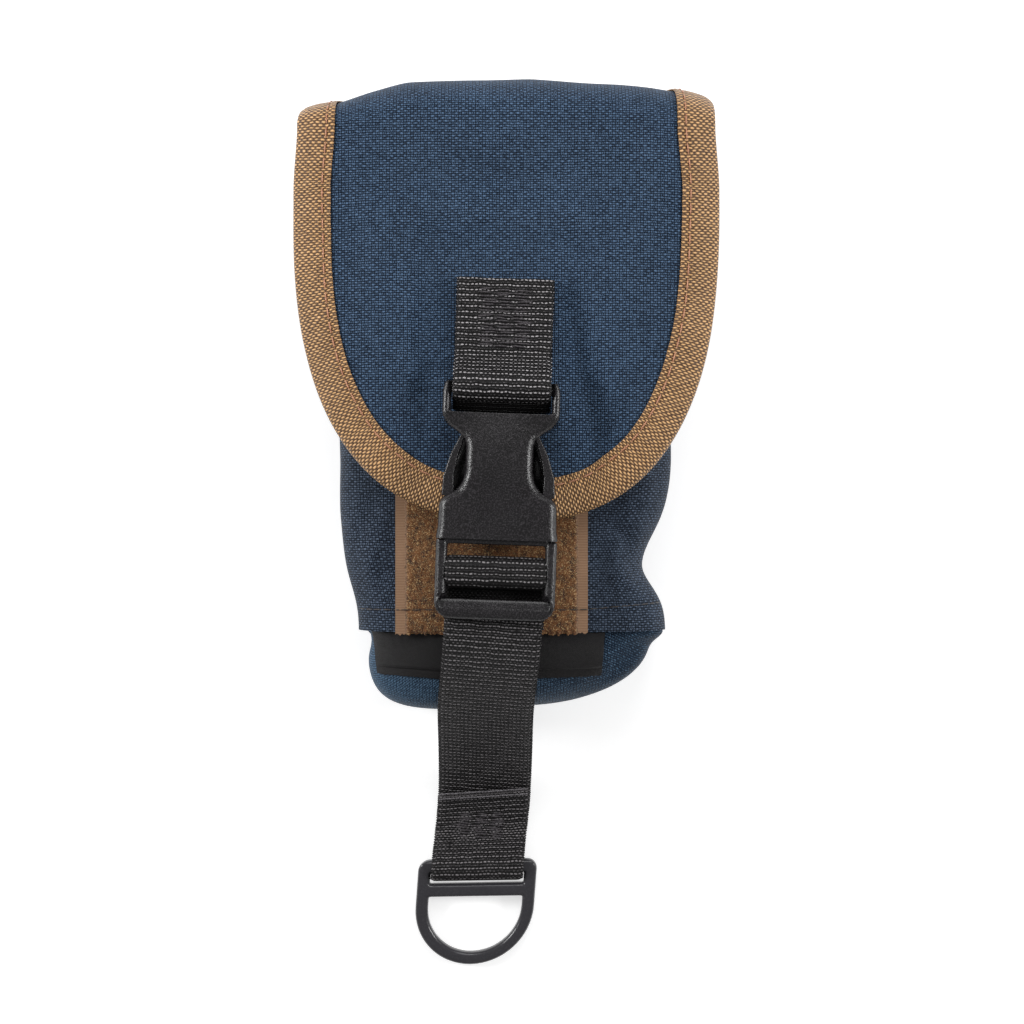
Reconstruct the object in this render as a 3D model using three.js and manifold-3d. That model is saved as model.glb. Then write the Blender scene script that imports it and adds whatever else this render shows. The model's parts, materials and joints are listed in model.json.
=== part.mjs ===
// Phone belt pouch in millimetres. It lies on its back: +Z is its front, +Y its top end,
// and the origin is on the table under the middle of its outline.
import * as THREE from 'three';
import { mergeVertices } from 'three/addons/utils/BufferGeometryUtils.js';
import Module from 'manifold-3d';

const wasm = await Module();
wasm.setup();

// Cloths, tapes and clearances
const gap = 0.3;
const wallThick = 1.4;
const clothThick = 1.0;
const liningThick = 0.6;
const tapeThick = 0.6;
const fastenerThick = 1.4;
const webThick = 1.4;
const webWidth = 25;
const webHalf = webWidth / 2;

// Belt loop on the back
const beltThick = 1.6;
const beltWidth = 50;
const beltGap = 4.6;
const beltPassage = 58;
const beltMiddleY = 50;
const beltBend = 6;
const beltSewn = 10;
const beltTackRows = 4;
const beltTackInset = 1.5;
const beltTackMargin = 4;

// Pouch body
const innerDepth = 25.2;
const bodyHalf = 43.5;
const hemHalf = 40.3;
const hemLean = 1.9;
const taperTopY = 8;
const hemY = -24.9;
const mouthY = 106;
const cornerRadius = 12;
const mouthTapeWidth = 8;
const seamTapeWidth = 8;
const seamTapeThick = 0.8;
const seamTapeStartY = -20;

// Rounded lower end
const endReach = 21.4;
const endTuck = 3;
const endEase = 0.8;
const endShift = 0.7;
const endPlanPower = 2.6;
const endHoopPower = 5;

// Touch fastener and label on the front
const fastenerWidth = 50;
const fastenerX = -3.8;
const loopTopY = 76;
const hookBottomY = 34;
const hookTopY = 74;
const labelWidth = 58;
const labelX = -3.8;
const labelDrop = 11.8;
const labelThick = 0.8;

// Flap
const topY = 119.4;
const topBulge = 11.2;
const topCornerDrop = 5.5;
const flapHalfWidth = 55.5;
const flapRoundStartY = 85.8;
const flapRoundLength = 82;
const flapRoundPower = 2.55;
const flapTipX = 2;
const flapFlatHalf = 26;
const flapDroop = 9;
const flapDroopPower = 2.2;
const bindingWidth = 10.5;
const bindingRound = 0.5;
const topSeamHalf = 47;

// Buckle place: the middle of the socket's mouth
const buckleX = -2.4;
const buckleY = -0.8;
const buckleLean = 2 * Math.PI / 180;
const buckleSeat = 0.4;

// Buckle socket, measured up from its mouth
const socketLength = 40;
const socketThick = 9;
const plateThick = 1.6;
const mouthHalf = webHalf + 2.9;
const bandHalf = webHalf + 2.3;
const bandLength = 10.5;
const bandWall = 2;
const neckHalf = webHalf;
const neckRise = 1.2;
const waistHalf = webHalf - 4.3;
const waistRound = 1;
const waistStart = 15.2;
const waistEnd = 25.5;
const chamberEnd = 27.3;
const headStart = 31;
const headThick = 4.4;
const headCorner = 1.8;
const taperStart = 29;
const taperEnd = 33;
const slotPlay = 0.4;
const slotLength = 5.2;
const barLength = 2.8;
const barThick = 3.4;

// Buckle plug, measured from the socket's mouth
const plugPlay = 0.5;
const plugThick = 5;
const baseDepth = 3.8;
const tongueHalf = 2.6;
const tongueLength = 20.2;
const railHalf = webHalf + 2.8;
const railFootHalf = webHalf + 0.3;
const railTaper = 0.7;
const railFlare = 1;
const railCorner = 4;
const frameHead = 0.9;
const upperSlot = 4.7;
const middleBarLength = 5;
const middleBarThick = 3;
const lowerSlot = 5.9;
const lowerBarLength = 3.6;
const lowerBarThick = 3.2;
const barRound = 1.3;

// Latch arms: U is how far their inner side is from the buckle's middle
const armLength = 22.4;
const armFootU = webHalf - 2.3;
const armShoulderU = webHalf - 1.25;
const armPadU = webHalf - 0.95;
const armPadLength = 5;
const armPadDrop = 0.3;
const armTurnU = webHalf - 1.75;
const armTurnWidth = 1.4;
const armTurnLength = 6;
const armTipU = webHalf - 3.6;
const armTipWidth = 0.9;
const latchHook = 0.9;
const latchStep = 0.4;

// Webbing loop on the flap
const strapTop = 66.8;
const strapSewn = 48;
const strapTurn = 3.1;
const strapLead = 1;
const flapTackBottom = 49;
const tackWidth = webHalf + 0.5;
const flapTackRows = 9;
const tackPitch = 1.7;
const threadWidth = 0.8;
const threadThick = 0.3;

// Fixed strap from the hem
const loadEndV = -5.7;
const loadRiseStartV = -21.5;
const loadRiseEndV = -10;

// Free tail and D-ring
const tailLean = 2.2 * Math.PI / 180;
const tailFall = 60;
const tailSplitShare = 0.78;
const foldTop = 50.3;
const ringBarFromBar = 71.6;
const tailTackFrom = 55.5;
const tailTackRows = 5;
const ringBar = 3.3;
const ringThick = 3.2;
const ringChamfer = 0.6;
const ringHalf = webHalf + 3.6;
const ringLimb = 3.2;
const ringSlot = 3.3;
const ringSlotBar = 3.4;
const ringStraight = 11.3;

// Colours
const navy = 0x2f4460;
const lightNavy = 0x3a5170;
const tan = 0x96714f;
const pileBrown = 0x654a34;
const webBlack = 0x2b2b2c;
const plasticBlack = 0x232324;
const labelBlack = 0x2a282a;
const threadBlack = 0x1c1c1d;

// Levels above the table
const backBottom = beltThick + beltGap;
const backTop = backBottom + wallThick;
const wallFoot = backTop + gap;
const frontInside = wallFoot + innerDepth;
const frontTop = frontInside + wallThick;
const loopTop = frontTop + gap + fastenerThick;
const liningBottom = loopTop + gap + fastenerThick + gap;
const flapSandwich = liningThick + gap + clothThick;
const flapMid = liningBottom + flapSandwich / 2;
const bindingInner = flapSandwich / 2 + gap;
const bindingOuter = bindingInner + tapeThick;
const buckleMid = flapMid + bindingOuter + buckleSeat + socketThick / 2;
const foldY = topY - flapSandwich / 2 - topBulge - gap / 2;
const flapInset = tapeThick + gap;

function colour(hex, roughness) {
  return new THREE.MeshStandardMaterial({ color: hex, roughness, metalness: 0 });
}

const material = {
  navyCloth: colour(navy, 0.85),
  endCloth: colour(lightNavy, 0.85),
  binding: colour(tan, 0.9),
  pile: colour(pileBrown, 1),
  webbing: colour(webBlack, 0.8),
  plastic: colour(plasticBlack, 0.45),
  label: colour(labelBlack, 0.8),
  thread: colour(threadBlack, 0.7),
};

const root = new THREE.Group();

function add(parent, name, geometry, finish) {
  const mesh = new THREE.Mesh(geometry, finish);
  mesh.name = name;
  parent.add(mesh);
  return mesh;
}

// Closed mesh from points and triangles, turned outwards if it came out inside out
function closedGeometry(points, triangles) {
  const geometry = new THREE.BufferGeometry();
  const a = new THREE.Vector3();
  let volume = 0;
  for (const [i, j, k] of triangles) {
    volume += a.copy(points[i]).cross(points[j]).dot(points[k]);
  }
  const index = triangles.flatMap(([i, j, k]) => (volume > 0 ? [i, j, k] : [i, k, j]));
  const places = points.flatMap((p) => [p.x, p.y, p.z]);
  geometry.setAttribute('position', new THREE.Float32BufferAttribute(places, 3));
  geometry.setIndex(index);
  geometry.computeVertexNormals();
  return geometry;
}

// Point on a surface of two parameters, moved along its normal
function lifted(surface, p, q, offset) {
  const step = 1e-3;
  const alongP = surface(p + step, q).sub(surface(p - step, q));
  const alongQ = surface(p, q + step).sub(surface(p, q - step));
  return surface(p, q).addScaledVector(alongP.cross(alongQ).normalize(), offset);
}

// Even shares from 0 to 1
function shares(count) {
  return Array.from({ length: count + 1 }, (_, i) => i / count);
}

// Sheet between two offsets from a surface, on a grid of shares across by shares along
function slab(acrossShares, alongShares, place, low, high) {
  const points = [];
  const triangles = [];
  const across = acrossShares.length - 1;
  const along = alongShares.length - 1;
  const row = across + 1;
  const layer = row * (along + 1);
  for (const offset of [low, high]) {
    for (const v of alongShares) {
      for (const u of acrossShares) points.push(place(u, v, offset));
    }
  }
  const quad = (a, b, c, d) => triangles.push([a, b, c], [a, c, d]);
  for (let j = 0; j < along; j++) {
    for (let i = 0; i < across; i++) {
      const at = j * row + i;
      quad(layer + at, layer + at + 1, layer + at + row + 1, layer + at + row);
      quad(at, at + row, at + row + 1, at + 1);
    }
  }
  for (let i = 0; i < across; i++) {
    const far = along * row + i;
    quad(i, i + 1, layer + i + 1, layer + i);
    quad(far + 1, far, layer + far, layer + far + 1);
  }
  for (let j = 0; j < along; j++) {
    const left = j * row;
    const right = left + across;
    quad(left + row, left, layer + left, layer + left + row);
    quad(right, right + row, layer + right + row, layer + right);
  }
  return closedGeometry(points, triangles);
}

// Section of (a, b) points carried along the shares of a path by place(s, a, b)
function sweep(section, pathShares, place) {
  const points = [];
  const triangles = [];
  const count = section.length;
  const steps = pathShares.length - 1;
  for (const s of pathShares) {
    for (const [a, b] of section) points.push(place(s, a, b));
  }
  for (let k = 0; k < steps; k++) {
    for (let i = 0; i < count; i++) {
      const here = k * count + i;
      const next = k * count + (i + 1) % count;
      triangles.push([here, next, next + count], [here, next + count, here + count]);
    }
  }
  const flat = section.map(([a, b]) => new THREE.Vector2(a, b));
  const turn = THREE.ShapeUtils.area(flat) > 0 ? 1 : -1;
  for (const [i, j, k] of THREE.ShapeUtils.triangulateShape(flat, [])) {
    const last = steps * count;
    triangles.push(turn > 0 ? [i, k, j] : [i, j, k]);
    triangles.push(turn > 0 ? [last + i, last + j, last + k] : [last + i, last + k, last + j]);
  }
  return closedGeometry(points, triangles);
}

// Tape folded over an edge: two legs and the turn between them
function foldedTape(inner, outer, width, round, rows) {
  const legs = Array.from({ length: rows }, (_, i) => width - (width - tapeThick) * i / (rows - 1));
  const outside = legs.slice(0, -1).map((b) => [outer, b]);
  const turn = [[outer, round], [outer - round, 0], [round - outer, 0], [-outer, round]];
  const under = legs.slice(0, -1).reverse().map((b) => [-outer, b]);
  const inside = [...legs.map((b) => [-inner, b]), ...legs.slice().reverse().map((b) => [inner, b])];
  return [...outside, ...turn, ...under, ...inside];
}

// Flat strip whose centre line lies in the Y-Z plane, with its width across X
function strip(path, width, thick) {
  const side = (sign) => path.map((p, i) => {
    const before = path[Math.max(i - 1, 0)];
    const after = path[Math.min(i + 1, path.length - 1)];
    const along = after.clone().sub(before).normalize();
    return new THREE.Vector2(p.x - sign * along.y * thick / 2, p.y + sign * along.x * thick / 2);
  });
  return crosswise(new THREE.Shape([...side(1), ...side(-1).reverse()]), width);
}

// Y-Z outline made as wide as asked across X
function crosswise(shape, width) {
  const geometry = new THREE.ExtrudeGeometry(shape, { depth: width, bevelEnabled: false });
  geometry.translate(0, 0, -width / 2);
  const turn = new THREE.Matrix4().makeBasis(
    new THREE.Vector3(0, 1, 0),
    new THREE.Vector3(0, 0, 1),
    new THREE.Vector3(1, 0, 0),
  );
  return geometry.applyMatrix4(turn);
}

// X-Y outline made as thick as asked, centred on its own plane
function flatwise(shape, thick, middle = 0) {
  const geometry = new THREE.ExtrudeGeometry(shape, { depth: thick, bevelEnabled: false });
  return geometry.translate(0, 0, middle - thick / 2);
}

function box(halfX, lowY, highY, lowZ, highZ) {
  const geometry = new THREE.BoxGeometry(2 * halfX, highY - lowY, highZ - lowZ);
  return geometry.translate(0, (lowY + highY) / 2, (lowZ + highZ) / 2);
}

// Closed outline from its right half, listed from the low end up
function mirrored(half) {
  const left = half.map((p) => new THREE.Vector2(-p.x, p.y)).reverse();
  return new THREE.Shape([...half, ...left]);
}

// Rectangle with round corners
function roundedBar(lowX, highX, lowY, highY, radius) {
  const shape = new THREE.Shape();
  shape.absarc(highX - radius, lowY + radius, radius, -Math.PI / 2, 0);
  shape.absarc(highX - radius, highY - radius, radius, 0, Math.PI / 2);
  shape.absarc(lowX + radius, highY - radius, radius, Math.PI / 2, Math.PI);
  shape.absarc(lowX + radius, lowY + radius, radius, Math.PI, Math.PI * 1.5);
  return new THREE.Shape(shape.getPoints(4));
}

// Arc of a strip's centre line, in the Y-Z plane
function arc(centreV, centreW, radius, fromDegrees, toDegrees, steps) {
  return Array.from({ length: steps + 1 }, (_, i) => {
    const angle = (fromDegrees + (toDegrees - fromDegrees) * i / steps) * Math.PI / 180;
    return new THREE.Vector2(centreV + radius * Math.cos(angle), centreW + radius * Math.sin(angle));
  });
}

// Half-cosine blend between two levels
function ease(from, to, share) {
  return from + (to - from) * (1 - Math.cos(Math.PI * THREE.MathUtils.clamp(share, 0, 1))) / 2;
}

function solid(geometry) {
  const bare = geometry.clone();
  bare.deleteAttribute('normal');
  bare.deleteAttribute('uv');
  const merged = mergeVertices(bare, 1e-4);
  return new wasm.Manifold(new wasm.Mesh({
    numProp: 3,
    vertProperties: Float32Array.from(merged.attributes.position.array),
    triVerts: Uint32Array.from(merged.index.array),
  }));
}

function fromSolid(manifold) {
  const mesh = manifold.getMesh();
  const geometry = new THREE.BufferGeometry();
  geometry.setAttribute('position', new THREE.BufferAttribute(mesh.vertProperties, 3));
  geometry.setIndex(new THREE.BufferAttribute(mesh.triVerts, 1));
  geometry.computeVertexNormals();
  return geometry;
}

// Side walls of the body at a height along it
function taper(y) {
  return ease(0, 1, (taperTopY - y) / (taperTopY - hemY));
}

function wallX(side, y) {
  return side * (bodyHalf - (bodyHalf - hemHalf) * taper(y)) + hemLean * taper(y);
}

// Shares of the U of the front and both sides that its walls and corners take
const sideShare = 0.15;
const cornerShare = 0.15;
const halfHoop = [0, ...shares(5).map((s) => sideShare + cornerShare * s), 0.4, 0.5];
const hoopShares = [...halfHoop, ...halfHoop.slice(0, -1).reverse().map((s) => 1 - s)];

// U of the front and both sides: straight wall, corner, front, corner, straight wall
function hoopPoint(share, y) {
  const radius = cornerRadius - wallThick / 2;
  const left = wallX(-1, y) + wallThick / 2;
  const right = wallX(1, y) - wallThick / 2;
  const top = frontTop - wallThick / 2;
  const fromLeft = share <= 0.5;
  const s = fromLeft ? share : 1 - share;
  const wall = fromLeft ? left : right;
  const inward = fromLeft ? 1 : -1;
  if (s <= sideShare) {
    return new THREE.Vector3(wall, y, wallFoot + (top - radius - wallFoot) * s / sideShare);
  }
  if (s <= sideShare + cornerShare) {
    const angle = (s - sideShare) / cornerShare * Math.PI / 2;
    const x = wall + inward * radius * (1 - Math.cos(angle));
    return new THREE.Vector3(x, y, top - radius + radius * Math.sin(angle));
  }
  const start = sideShare + cornerShare;
  const middle = (left + right) / 2;
  const edge = wall + inward * radius;
  return new THREE.Vector3(edge + (middle - edge) * (s - start) / (0.5 - start), y, top);
}

// Hoop point moved out of the cloth, with the direction taken from the hoop itself
function onHoop(share, y, offset) {
  const step = 1e-3;
  const from = hoopPoint(Math.max(share - step, 0), y);
  const along = hoopPoint(Math.min(share + step, 1), y).sub(from).normalize();
  return hoopPoint(share, y).add(new THREE.Vector3(-along.z, 0, along.x).multiplyScalar(offset));
}

function makeWrap() {
  const place = (u, v, offset) => onHoop(u, hemY + (mouthY - hemY) * v, offset);
  const taperShare = (taperTopY - hemY) / (mouthY - hemY);
  const rows = [...shares(8).map((s) => s * taperShare), 1];
  return slab(hoopShares, rows, place, -wallThick / 2, wallThick / 2);
}

function makeMouthBinding() {
  const inner = wallThick / 2 + gap;
  const section = foldedTape(inner, inner + tapeThick, mouthTapeWidth, bindingRound, 2);
  const edge = mouthY + gap + tapeThick;
  return sweep(section, hoopShares, (s, a, b) => {
    const point = onHoop(s, mouthY, a);
    point.y = edge - b;
    return point;
  });
}

function makeSeamTape(side) {
  const endY = mouthY + gap + tapeThick - mouthTapeWidth - gap;
  const place = (u, v, offset) => {
    const y = seamTapeStartY + (endY - seamTapeStartY) * v;
    const wall = wallX(side, y) - side * (wallThick + gap);
    return new THREE.Vector3(wall - side * seamTapeWidth * u, y, wallFoot + offset);
  };
  return slab([0, 1], shares(12), place, 0, seamTapeThick);
}

// The rounded end is part of a superellipsoid, and this is its height at a place on it
function endSizes(inset) {
  return {
    half: hemHalf - wallThick - endEase - endShift - inset,
    reach: endReach - inset,
    height: frontInside - gap - wallFoot - inset,
  };
}

function makeEndSolid(inset) {
  const { half, reach, height } = endSizes(inset);
  const middle = hemLean - endShift;
  const columns = 40;
  const rows = 20;
  const points = [];
  const triangles = [];
  const power = (value, n) => Math.sign(value) * Math.abs(value) ** (2 / n);
  for (let j = 1; j < rows; j++) {
    const tilt = Math.PI * (j / rows - 0.5);
    for (let i = 0; i < columns; i++) {
      const round = 2 * Math.PI * i / columns;
      const x = half * power(Math.cos(round), endHoopPower) * power(Math.cos(tilt), endPlanPower);
      const z = height * power(Math.sin(round), endHoopPower) * power(Math.cos(tilt), endPlanPower);
      const y = reach * power(Math.sin(tilt), endPlanPower);
      points.push(new THREE.Vector3(middle + x, hemY + y, wallFoot + z));
    }
  }
  const low = points.push(new THREE.Vector3(middle, hemY - reach, wallFoot)) - 1;
  const high = points.push(new THREE.Vector3(middle, hemY + reach, wallFoot)) - 1;
  for (let i = 0; i < columns; i++) {
    const next = (i + 1) % columns;
    const last = (rows - 2) * columns;
    triangles.push([low, i, next], [high, last + next, last + i]);
    for (let j = 0; j < rows - 2; j++) {
      const a = j * columns;
      triangles.push([a + i, a + columns + i, a + columns + next], [a + i, a + columns + next, a + next]);
    }
  }
  return solid(closedGeometry(points, triangles));
}

function makeBottomPanel() {
  const { half, reach, height } = endSizes(0);
  const keep = box(2 * half, hemY - 2 * reach, hemY + endTuck, wallFoot, wallFoot + 2 * height);
  return fromSolid(makeEndSolid(0).subtract(makeEndSolid(wallThick)).intersect(solid(keep)));
}

function endHeight(y) {
  const { reach, height } = endSizes(0);
  return wallFoot + height * (1 - Math.abs((y - hemY) / reach) ** endPlanPower) ** (1 / endPlanPower);
}

function makeBackPanel() {
  const { reach } = endSizes(0);
  const rows = 10;
  const half = [];
  const topEdge = foldY - gap / 2;
  for (let i = 0; i <= rows; i++) {
    const tilt = Math.PI / 2 * i / rows;
    const across = Math.sin(tilt) ** (2 / endPlanPower);
    const down = Math.cos(tilt) ** (2 / endPlanPower);
    half.push([across, hemY - reach * down]);
  }
  for (let i = 1; i <= rows; i++) half.push([1, hemY + (taperTopY - hemY) * i / rows]);
  half.push([1, topEdge]);
  const right = half.map(([share, y]) => new THREE.Vector2(edgeX(1, share, y), y));
  const left = half.slice(1).map(([share, y]) => new THREE.Vector2(edgeX(-1, share, y), y)).reverse();
  return flatwise(new THREE.Shape([...right, ...left]), wallThick, backBottom + wallThick / 2);
}

// Edge of the back: the wall's line, drawn in towards the middle below the hem
function edgeX(side, share, y) {
  const wall = wallX(side, Math.max(y, hemY));
  return hemLean * taper(Math.max(y, hemY)) * (1 - share) + wall * share;
}

function makeLoopPatch() {
  return new THREE.BoxGeometry(fastenerWidth, loopTopY - hemY, fastenerThick)
    .translate(fastenerX, (loopTopY + hemY) / 2, frontTop + gap + fastenerThick / 2);
}

function makeLabel() {
  const place = (u, v, offset) => {
    const y = hemY - gap - labelDrop * (1 - v);
    return new THREE.Vector3(labelX + labelWidth * (u - 0.5), y, endHeight(y) + gap + offset);
  };
  return slab([0, 1], shares(8), place, 0, labelThick);
}

function makeBeltLoop() {
  const outside = beltThick / 2;
  const sewn = backBottom - gap - beltThick / 2;
  const flatHalf = beltPassage / 2 - beltBend;
  const half = [new THREE.Vector2(beltPassage / 2 + beltSewn, sewn)];
  const steps = 10;
  for (let i = 0; i <= steps; i++) {
    half.push(new THREE.Vector2(beltPassage / 2 - beltBend * i / steps, ease(sewn, outside, i / steps)));
  }
  half.push(new THREE.Vector2(flatHalf - beltBend, outside));
  const other = half.slice().reverse().map((p) => new THREE.Vector2(-p.x, p.y));
  return strip([...half, ...other], beltWidth, beltThick).translate(0, beltMiddleY, 0);
}

// Bar tack: one thread band that goes to and fro over the webbing in rows
function makeTack(width, rows) {
  const line = [];
  for (let i = 0; i <= rows; i++) {
    const side = i % 2 ? 1 : -1;
    line.push(new THREE.Vector2(side * width / 2, tackPitch * i));
    line.push(new THREE.Vector2(-side * width / 2, tackPitch * i));
  }
  const square = (from, to) => new THREE.Vector2(from.y - to.y, to.x - from.x).normalize();
  const edge = (sign) => line.map((p, i) => {
    const reach = new THREE.Vector2();
    if (i > 0) reach.add(square(line[i - 1], p));
    if (i < line.length - 1) reach.add(square(p, line[i + 1]));
    return p.clone().addScaledVector(reach, sign * threadWidth / 2);
  });
  return flatwise(new THREE.Shape([...edge(1), ...edge(-1).reverse()]), threadThick);
}

function makeBeltStitch(side) {
  const nearest = beltPassage / 2 + beltTackInset;
  const low = side > 0 ? nearest : -nearest - beltTackRows * tackPitch;
  const level = backBottom - gap - beltThick - gap - threadThick / 2;
  return makeTack(beltWidth - 2 * beltTackMargin, beltTackRows).translate(0, beltMiddleY + low, level);
}

// Flap: flat in the middle, with its edges drooping over the sides
function flapLevel(x) {
  const past = Math.max(Math.abs(x) - flapFlatHalf, 0) / (flapHalfWidth - flapFlatHalf);
  return flapMid - flapDroop * past ** flapDroopPower;
}

// Columns of the flap's sheets, closer together where the edges droop
const flapColumns = [...shares(6).map((s) => s / 4), 0.5, ...shares(6).map((s) => (3 + s) / 4)];

function flapSurface(x, y) {
  return new THREE.Vector3(x, y, flapLevel(x));
}

// Right or left edge of the flap, from its tip (0) up to the fold (1)
const roundShare = 0.8;

function flapEdge(side, share, inset) {
  const top = foldY - gap / 2;
  if (share >= roundShare) {
    const y = flapRoundStartY + (top - flapRoundStartY) * (share - roundShare) / (1 - roundShare);
    return new THREE.Vector2(side * (flapHalfWidth - inset), y);
  }
  const angle = share / roundShare * Math.PI / 2;
  const lean = flapTipX * Math.cos(angle) ** 2;
  const across = Math.sin(angle) ** (2 / flapRoundPower);
  const down = Math.cos(angle) ** (2 / flapRoundPower);
  const x = lean + side * (flapHalfWidth - inset) * across;
  return new THREE.Vector2(x, flapRoundStartY - (flapRoundLength - inset) * down);
}

function makeFlapSheet(low, high) {
  const firstRow = 0.06;
  const place = (u, v, offset) => {
    const share = firstRow + (1 - firstRow) * v;
    const left = flapEdge(-1, share, flapInset);
    const right = flapEdge(1, share, flapInset);
    return lifted(flapSurface, left.x + (right.x - left.x) * u, left.y, offset);
  };
  return slab(flapColumns, shares(12), place, low, high);
}

function makeFlapBinding() {
  const section = foldedTape(bindingInner, bindingOuter, bindingWidth, bindingRound, 3);
  const rightHalf = [...shares(22).map((s) => s * roundShare), 1];
  const path = [...rightHalf.slice(1).reverse().map((s) => -s), ...rightHalf];
  return sweep(section, path, (along, a, b) => {
    const edge = (t) => flapEdge(t < 0 ? -1 : 1, Math.abs(t), 0);
    const step = 1e-3;
    const forward = edge(Math.min(along + step, 1)).sub(edge(Math.max(along - step, -1))).normalize();
    const at = edge(along).add(new THREE.Vector2(-forward.y, forward.x).multiplyScalar(b));
    return lifted(flapSurface, at.x, at.y, a);
  });
}

function makeHookPatch() {
  const place = (u, v, offset) => {
    const y = hookBottomY + (hookTopY - hookBottomY) * v;
    return lifted(flapSurface, fastenerX + fastenerWidth * (u - 0.5), y, offset);
  };
  return slab(shares(10), [0, 1], place, -bindingInner - fastenerThick, -bindingInner);
}

// Top of the flap: half an ellipse from the front fold (0) over and down to the back seam (1)
function topSurface(x, share) {
  const front = flapLevel(x);
  const back = backBottom + bindingOuter;
  const angle = Math.PI * (0.5 - share);
  const bulge = topBulge - topCornerDrop * Math.abs(x / flapHalfWidth) ** 3;
  const y = foldY + gap / 2 + bulge * Math.cos(angle);
  return new THREE.Vector3(x, y, (front + back) / 2 + (front - back) / 2 * Math.sin(angle));
}

function topHalf(share) {
  return ease(flapHalfWidth, topSeamHalf, share);
}

function makeTopSheet(low, high) {
  const place = (u, v, offset) => lifted(topSurface, (2 * u - 1) * (topHalf(v) - flapInset), v, offset);
  return slab(flapColumns, shares(12), place, low, high);
}

function makeTopBinding(side) {
  const section = foldedTape(bindingInner, bindingOuter, bindingWidth, bindingRound, 3);
  return sweep(section, shares(14), (s, a, b) => lifted(topSurface, side * (topHalf(s) - b), s, a));
}

const slotHalf = webHalf + slotPlay;
const chamberHalf = socketThick / 2 - plateThick;
const chamberWide = mouthHalf - bandWall;
const slotEnd = socketLength - barLength;
const slotStart = slotEnd - slotLength;

function makeSocket() {
  const side = new THREE.Path();
  side.moveTo(mouthHalf, 0);
  side.lineTo(bandHalf, bandLength - latchHook);
  side.quadraticCurveTo(bandHalf, bandLength + latchStep, neckHalf, bandLength + neckRise);
  side.quadraticCurveTo(waistHalf + waistRound, bandLength + neckRise + waistRound, waistHalf, waistStart);
  side.lineTo(waistHalf, waistEnd);
  side.quadraticCurveTo(waistHalf + waistRound, chamberEnd + waistRound, bandHalf, headStart);
  side.lineTo(bandHalf, socketLength - headCorner);
  side.quadraticCurveTo(bandHalf, socketLength, bandHalf - headCorner, socketLength);
  const profile = new THREE.Shape();
  const margin = 1;
  profile.moveTo(-margin, -socketThick / 2);
  profile.lineTo(taperStart, -socketThick / 2);
  profile.lineTo(taperEnd, -headThick / 2);
  profile.lineTo(socketLength + margin, -headThick / 2);
  profile.lineTo(socketLength + margin, headThick / 2);
  profile.lineTo(taperEnd, headThick / 2);
  profile.lineTo(taperStart, socketThick / 2);
  profile.lineTo(-margin, socketThick / 2);
  const plan = solid(flatwise(mirrored(side.getPoints(5)), socketThick + margin));
  const body = plan.intersect(solid(crosswise(profile, 4 * mouthHalf)));
  const mouth = box(chamberWide, -margin, bandLength + margin, -chamberHalf, chamberHalf);
  const chamber = box(2 * mouthHalf, bandLength, chamberEnd, -chamberHalf, chamberHalf);
  const slot = box(slotHalf, slotStart, slotEnd, -socketThick, socketThick);
  const aboveBar = box(slotHalf, slotStart, socketLength + margin, barThick / 2, socketThick);
  const belowBar = box(slotHalf, slotStart, socketLength + margin, -socketThick, -barThick / 2);
  const cuts = [mouth, chamber, slot, aboveBar, belowBar];
  return fromSolid(cuts.reduce((left, cut) => left.subtract(solid(cut)), body));
}

const plugHalfThick = chamberHalf - plugPlay;
const plugBaseHalf = chamberWide - plugPlay;
const frameTop = -gap;
const windowTop = frameTop - frameHead;
const middleBarTop = windowTop - upperSlot;
const middleBarFoot = middleBarTop - middleBarLength;
const windowFoot = middleBarFoot - lowerSlot;
const frameFoot = windowFoot - lowerBarLength;
const lowerBarV = windowFoot - lowerBarLength / 2;

function makePlug() {
  const half = new THREE.Path();
  half.moveTo(railFootHalf - railCorner, frameFoot);
  half.quadraticCurveTo(railFootHalf, frameFoot, railFootHalf + railFlare, frameFoot + railCorner);
  half.lineTo(railHalf - railTaper, middleBarFoot);
  half.lineTo(railHalf, frameTop);
  const frame = solid(flatwise(mirrored(half.getPoints(5)), plugThick));
  const window = solid(box(slotHalf, 2 * frameFoot, windowTop, -plugThick, plugThick));
  const barAt = (low, high, thick) => {
    const section = roundedBar(low, high, -thick / 2, thick / 2, barRound);
    return solid(crosswise(section, 4 * railHalf)).intersect(frame);
  };
  const middle = barAt(middleBarFoot, middleBarTop, middleBarThick);
  const lower = barAt(frameFoot, windowFoot, lowerBarThick);
  const base = solid(box(plugBaseHalf, windowTop, baseDepth, -plugHalfThick, plugHalfThick));
  const tongue = solid(box(tongueHalf, frameTop, baseDepth + tongueLength, -plugHalfThick, plugHalfThick));
  return fromSolid(frame.subtract(window).add(middle).add(lower).add(base).add(tongue));
}

// Latch arm: its shoulder stands behind the socket's band, with the finger pad above it
function makeArm(side) {
  const foot = baseDepth + gap;
  const outer = chamberWide - plugPlay;
  const hook = chamberWide + latchHook;
  const shoulder = bandLength + latchStep;
  const tip = foot + armLength;
  const points = [
    [armFootU, foot],
    [outer - gap, foot],
    [outer, shoulder - latchStep / 2],
    [hook, shoulder],
    [hook - armPadDrop, shoulder + armPadLength],
    [armTurnU + armTurnWidth, tip - armTurnLength + armTurnWidth],
    [armTipU + armTipWidth, tip],
    [armTipU, tip],
    [armTurnU, tip - armTurnLength],
    [armPadU, shoulder + armPadLength],
    [armShoulderU, shoulder],
  ];
  const outline = points.map(([u, v]) => new THREE.Vector2(side * u, v));
  return flatwise(new THREE.Shape(outline), 2 * plugHalfThick);
}

const wrapReach = barRound + gap + webThick / 2;
const middleBarHigh = middleBarTop - barRound;
const middleBarLow = middleBarFoot + barRound;
const middleBarCentreW = middleBarThick / 2 - barRound;
const lowerBarHigh = windowFoot - barRound;
const lowerBarCentreW = barRound - lowerBarThick / 2;
const wrapLow = lowerBarCentreW - wrapReach;

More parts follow.
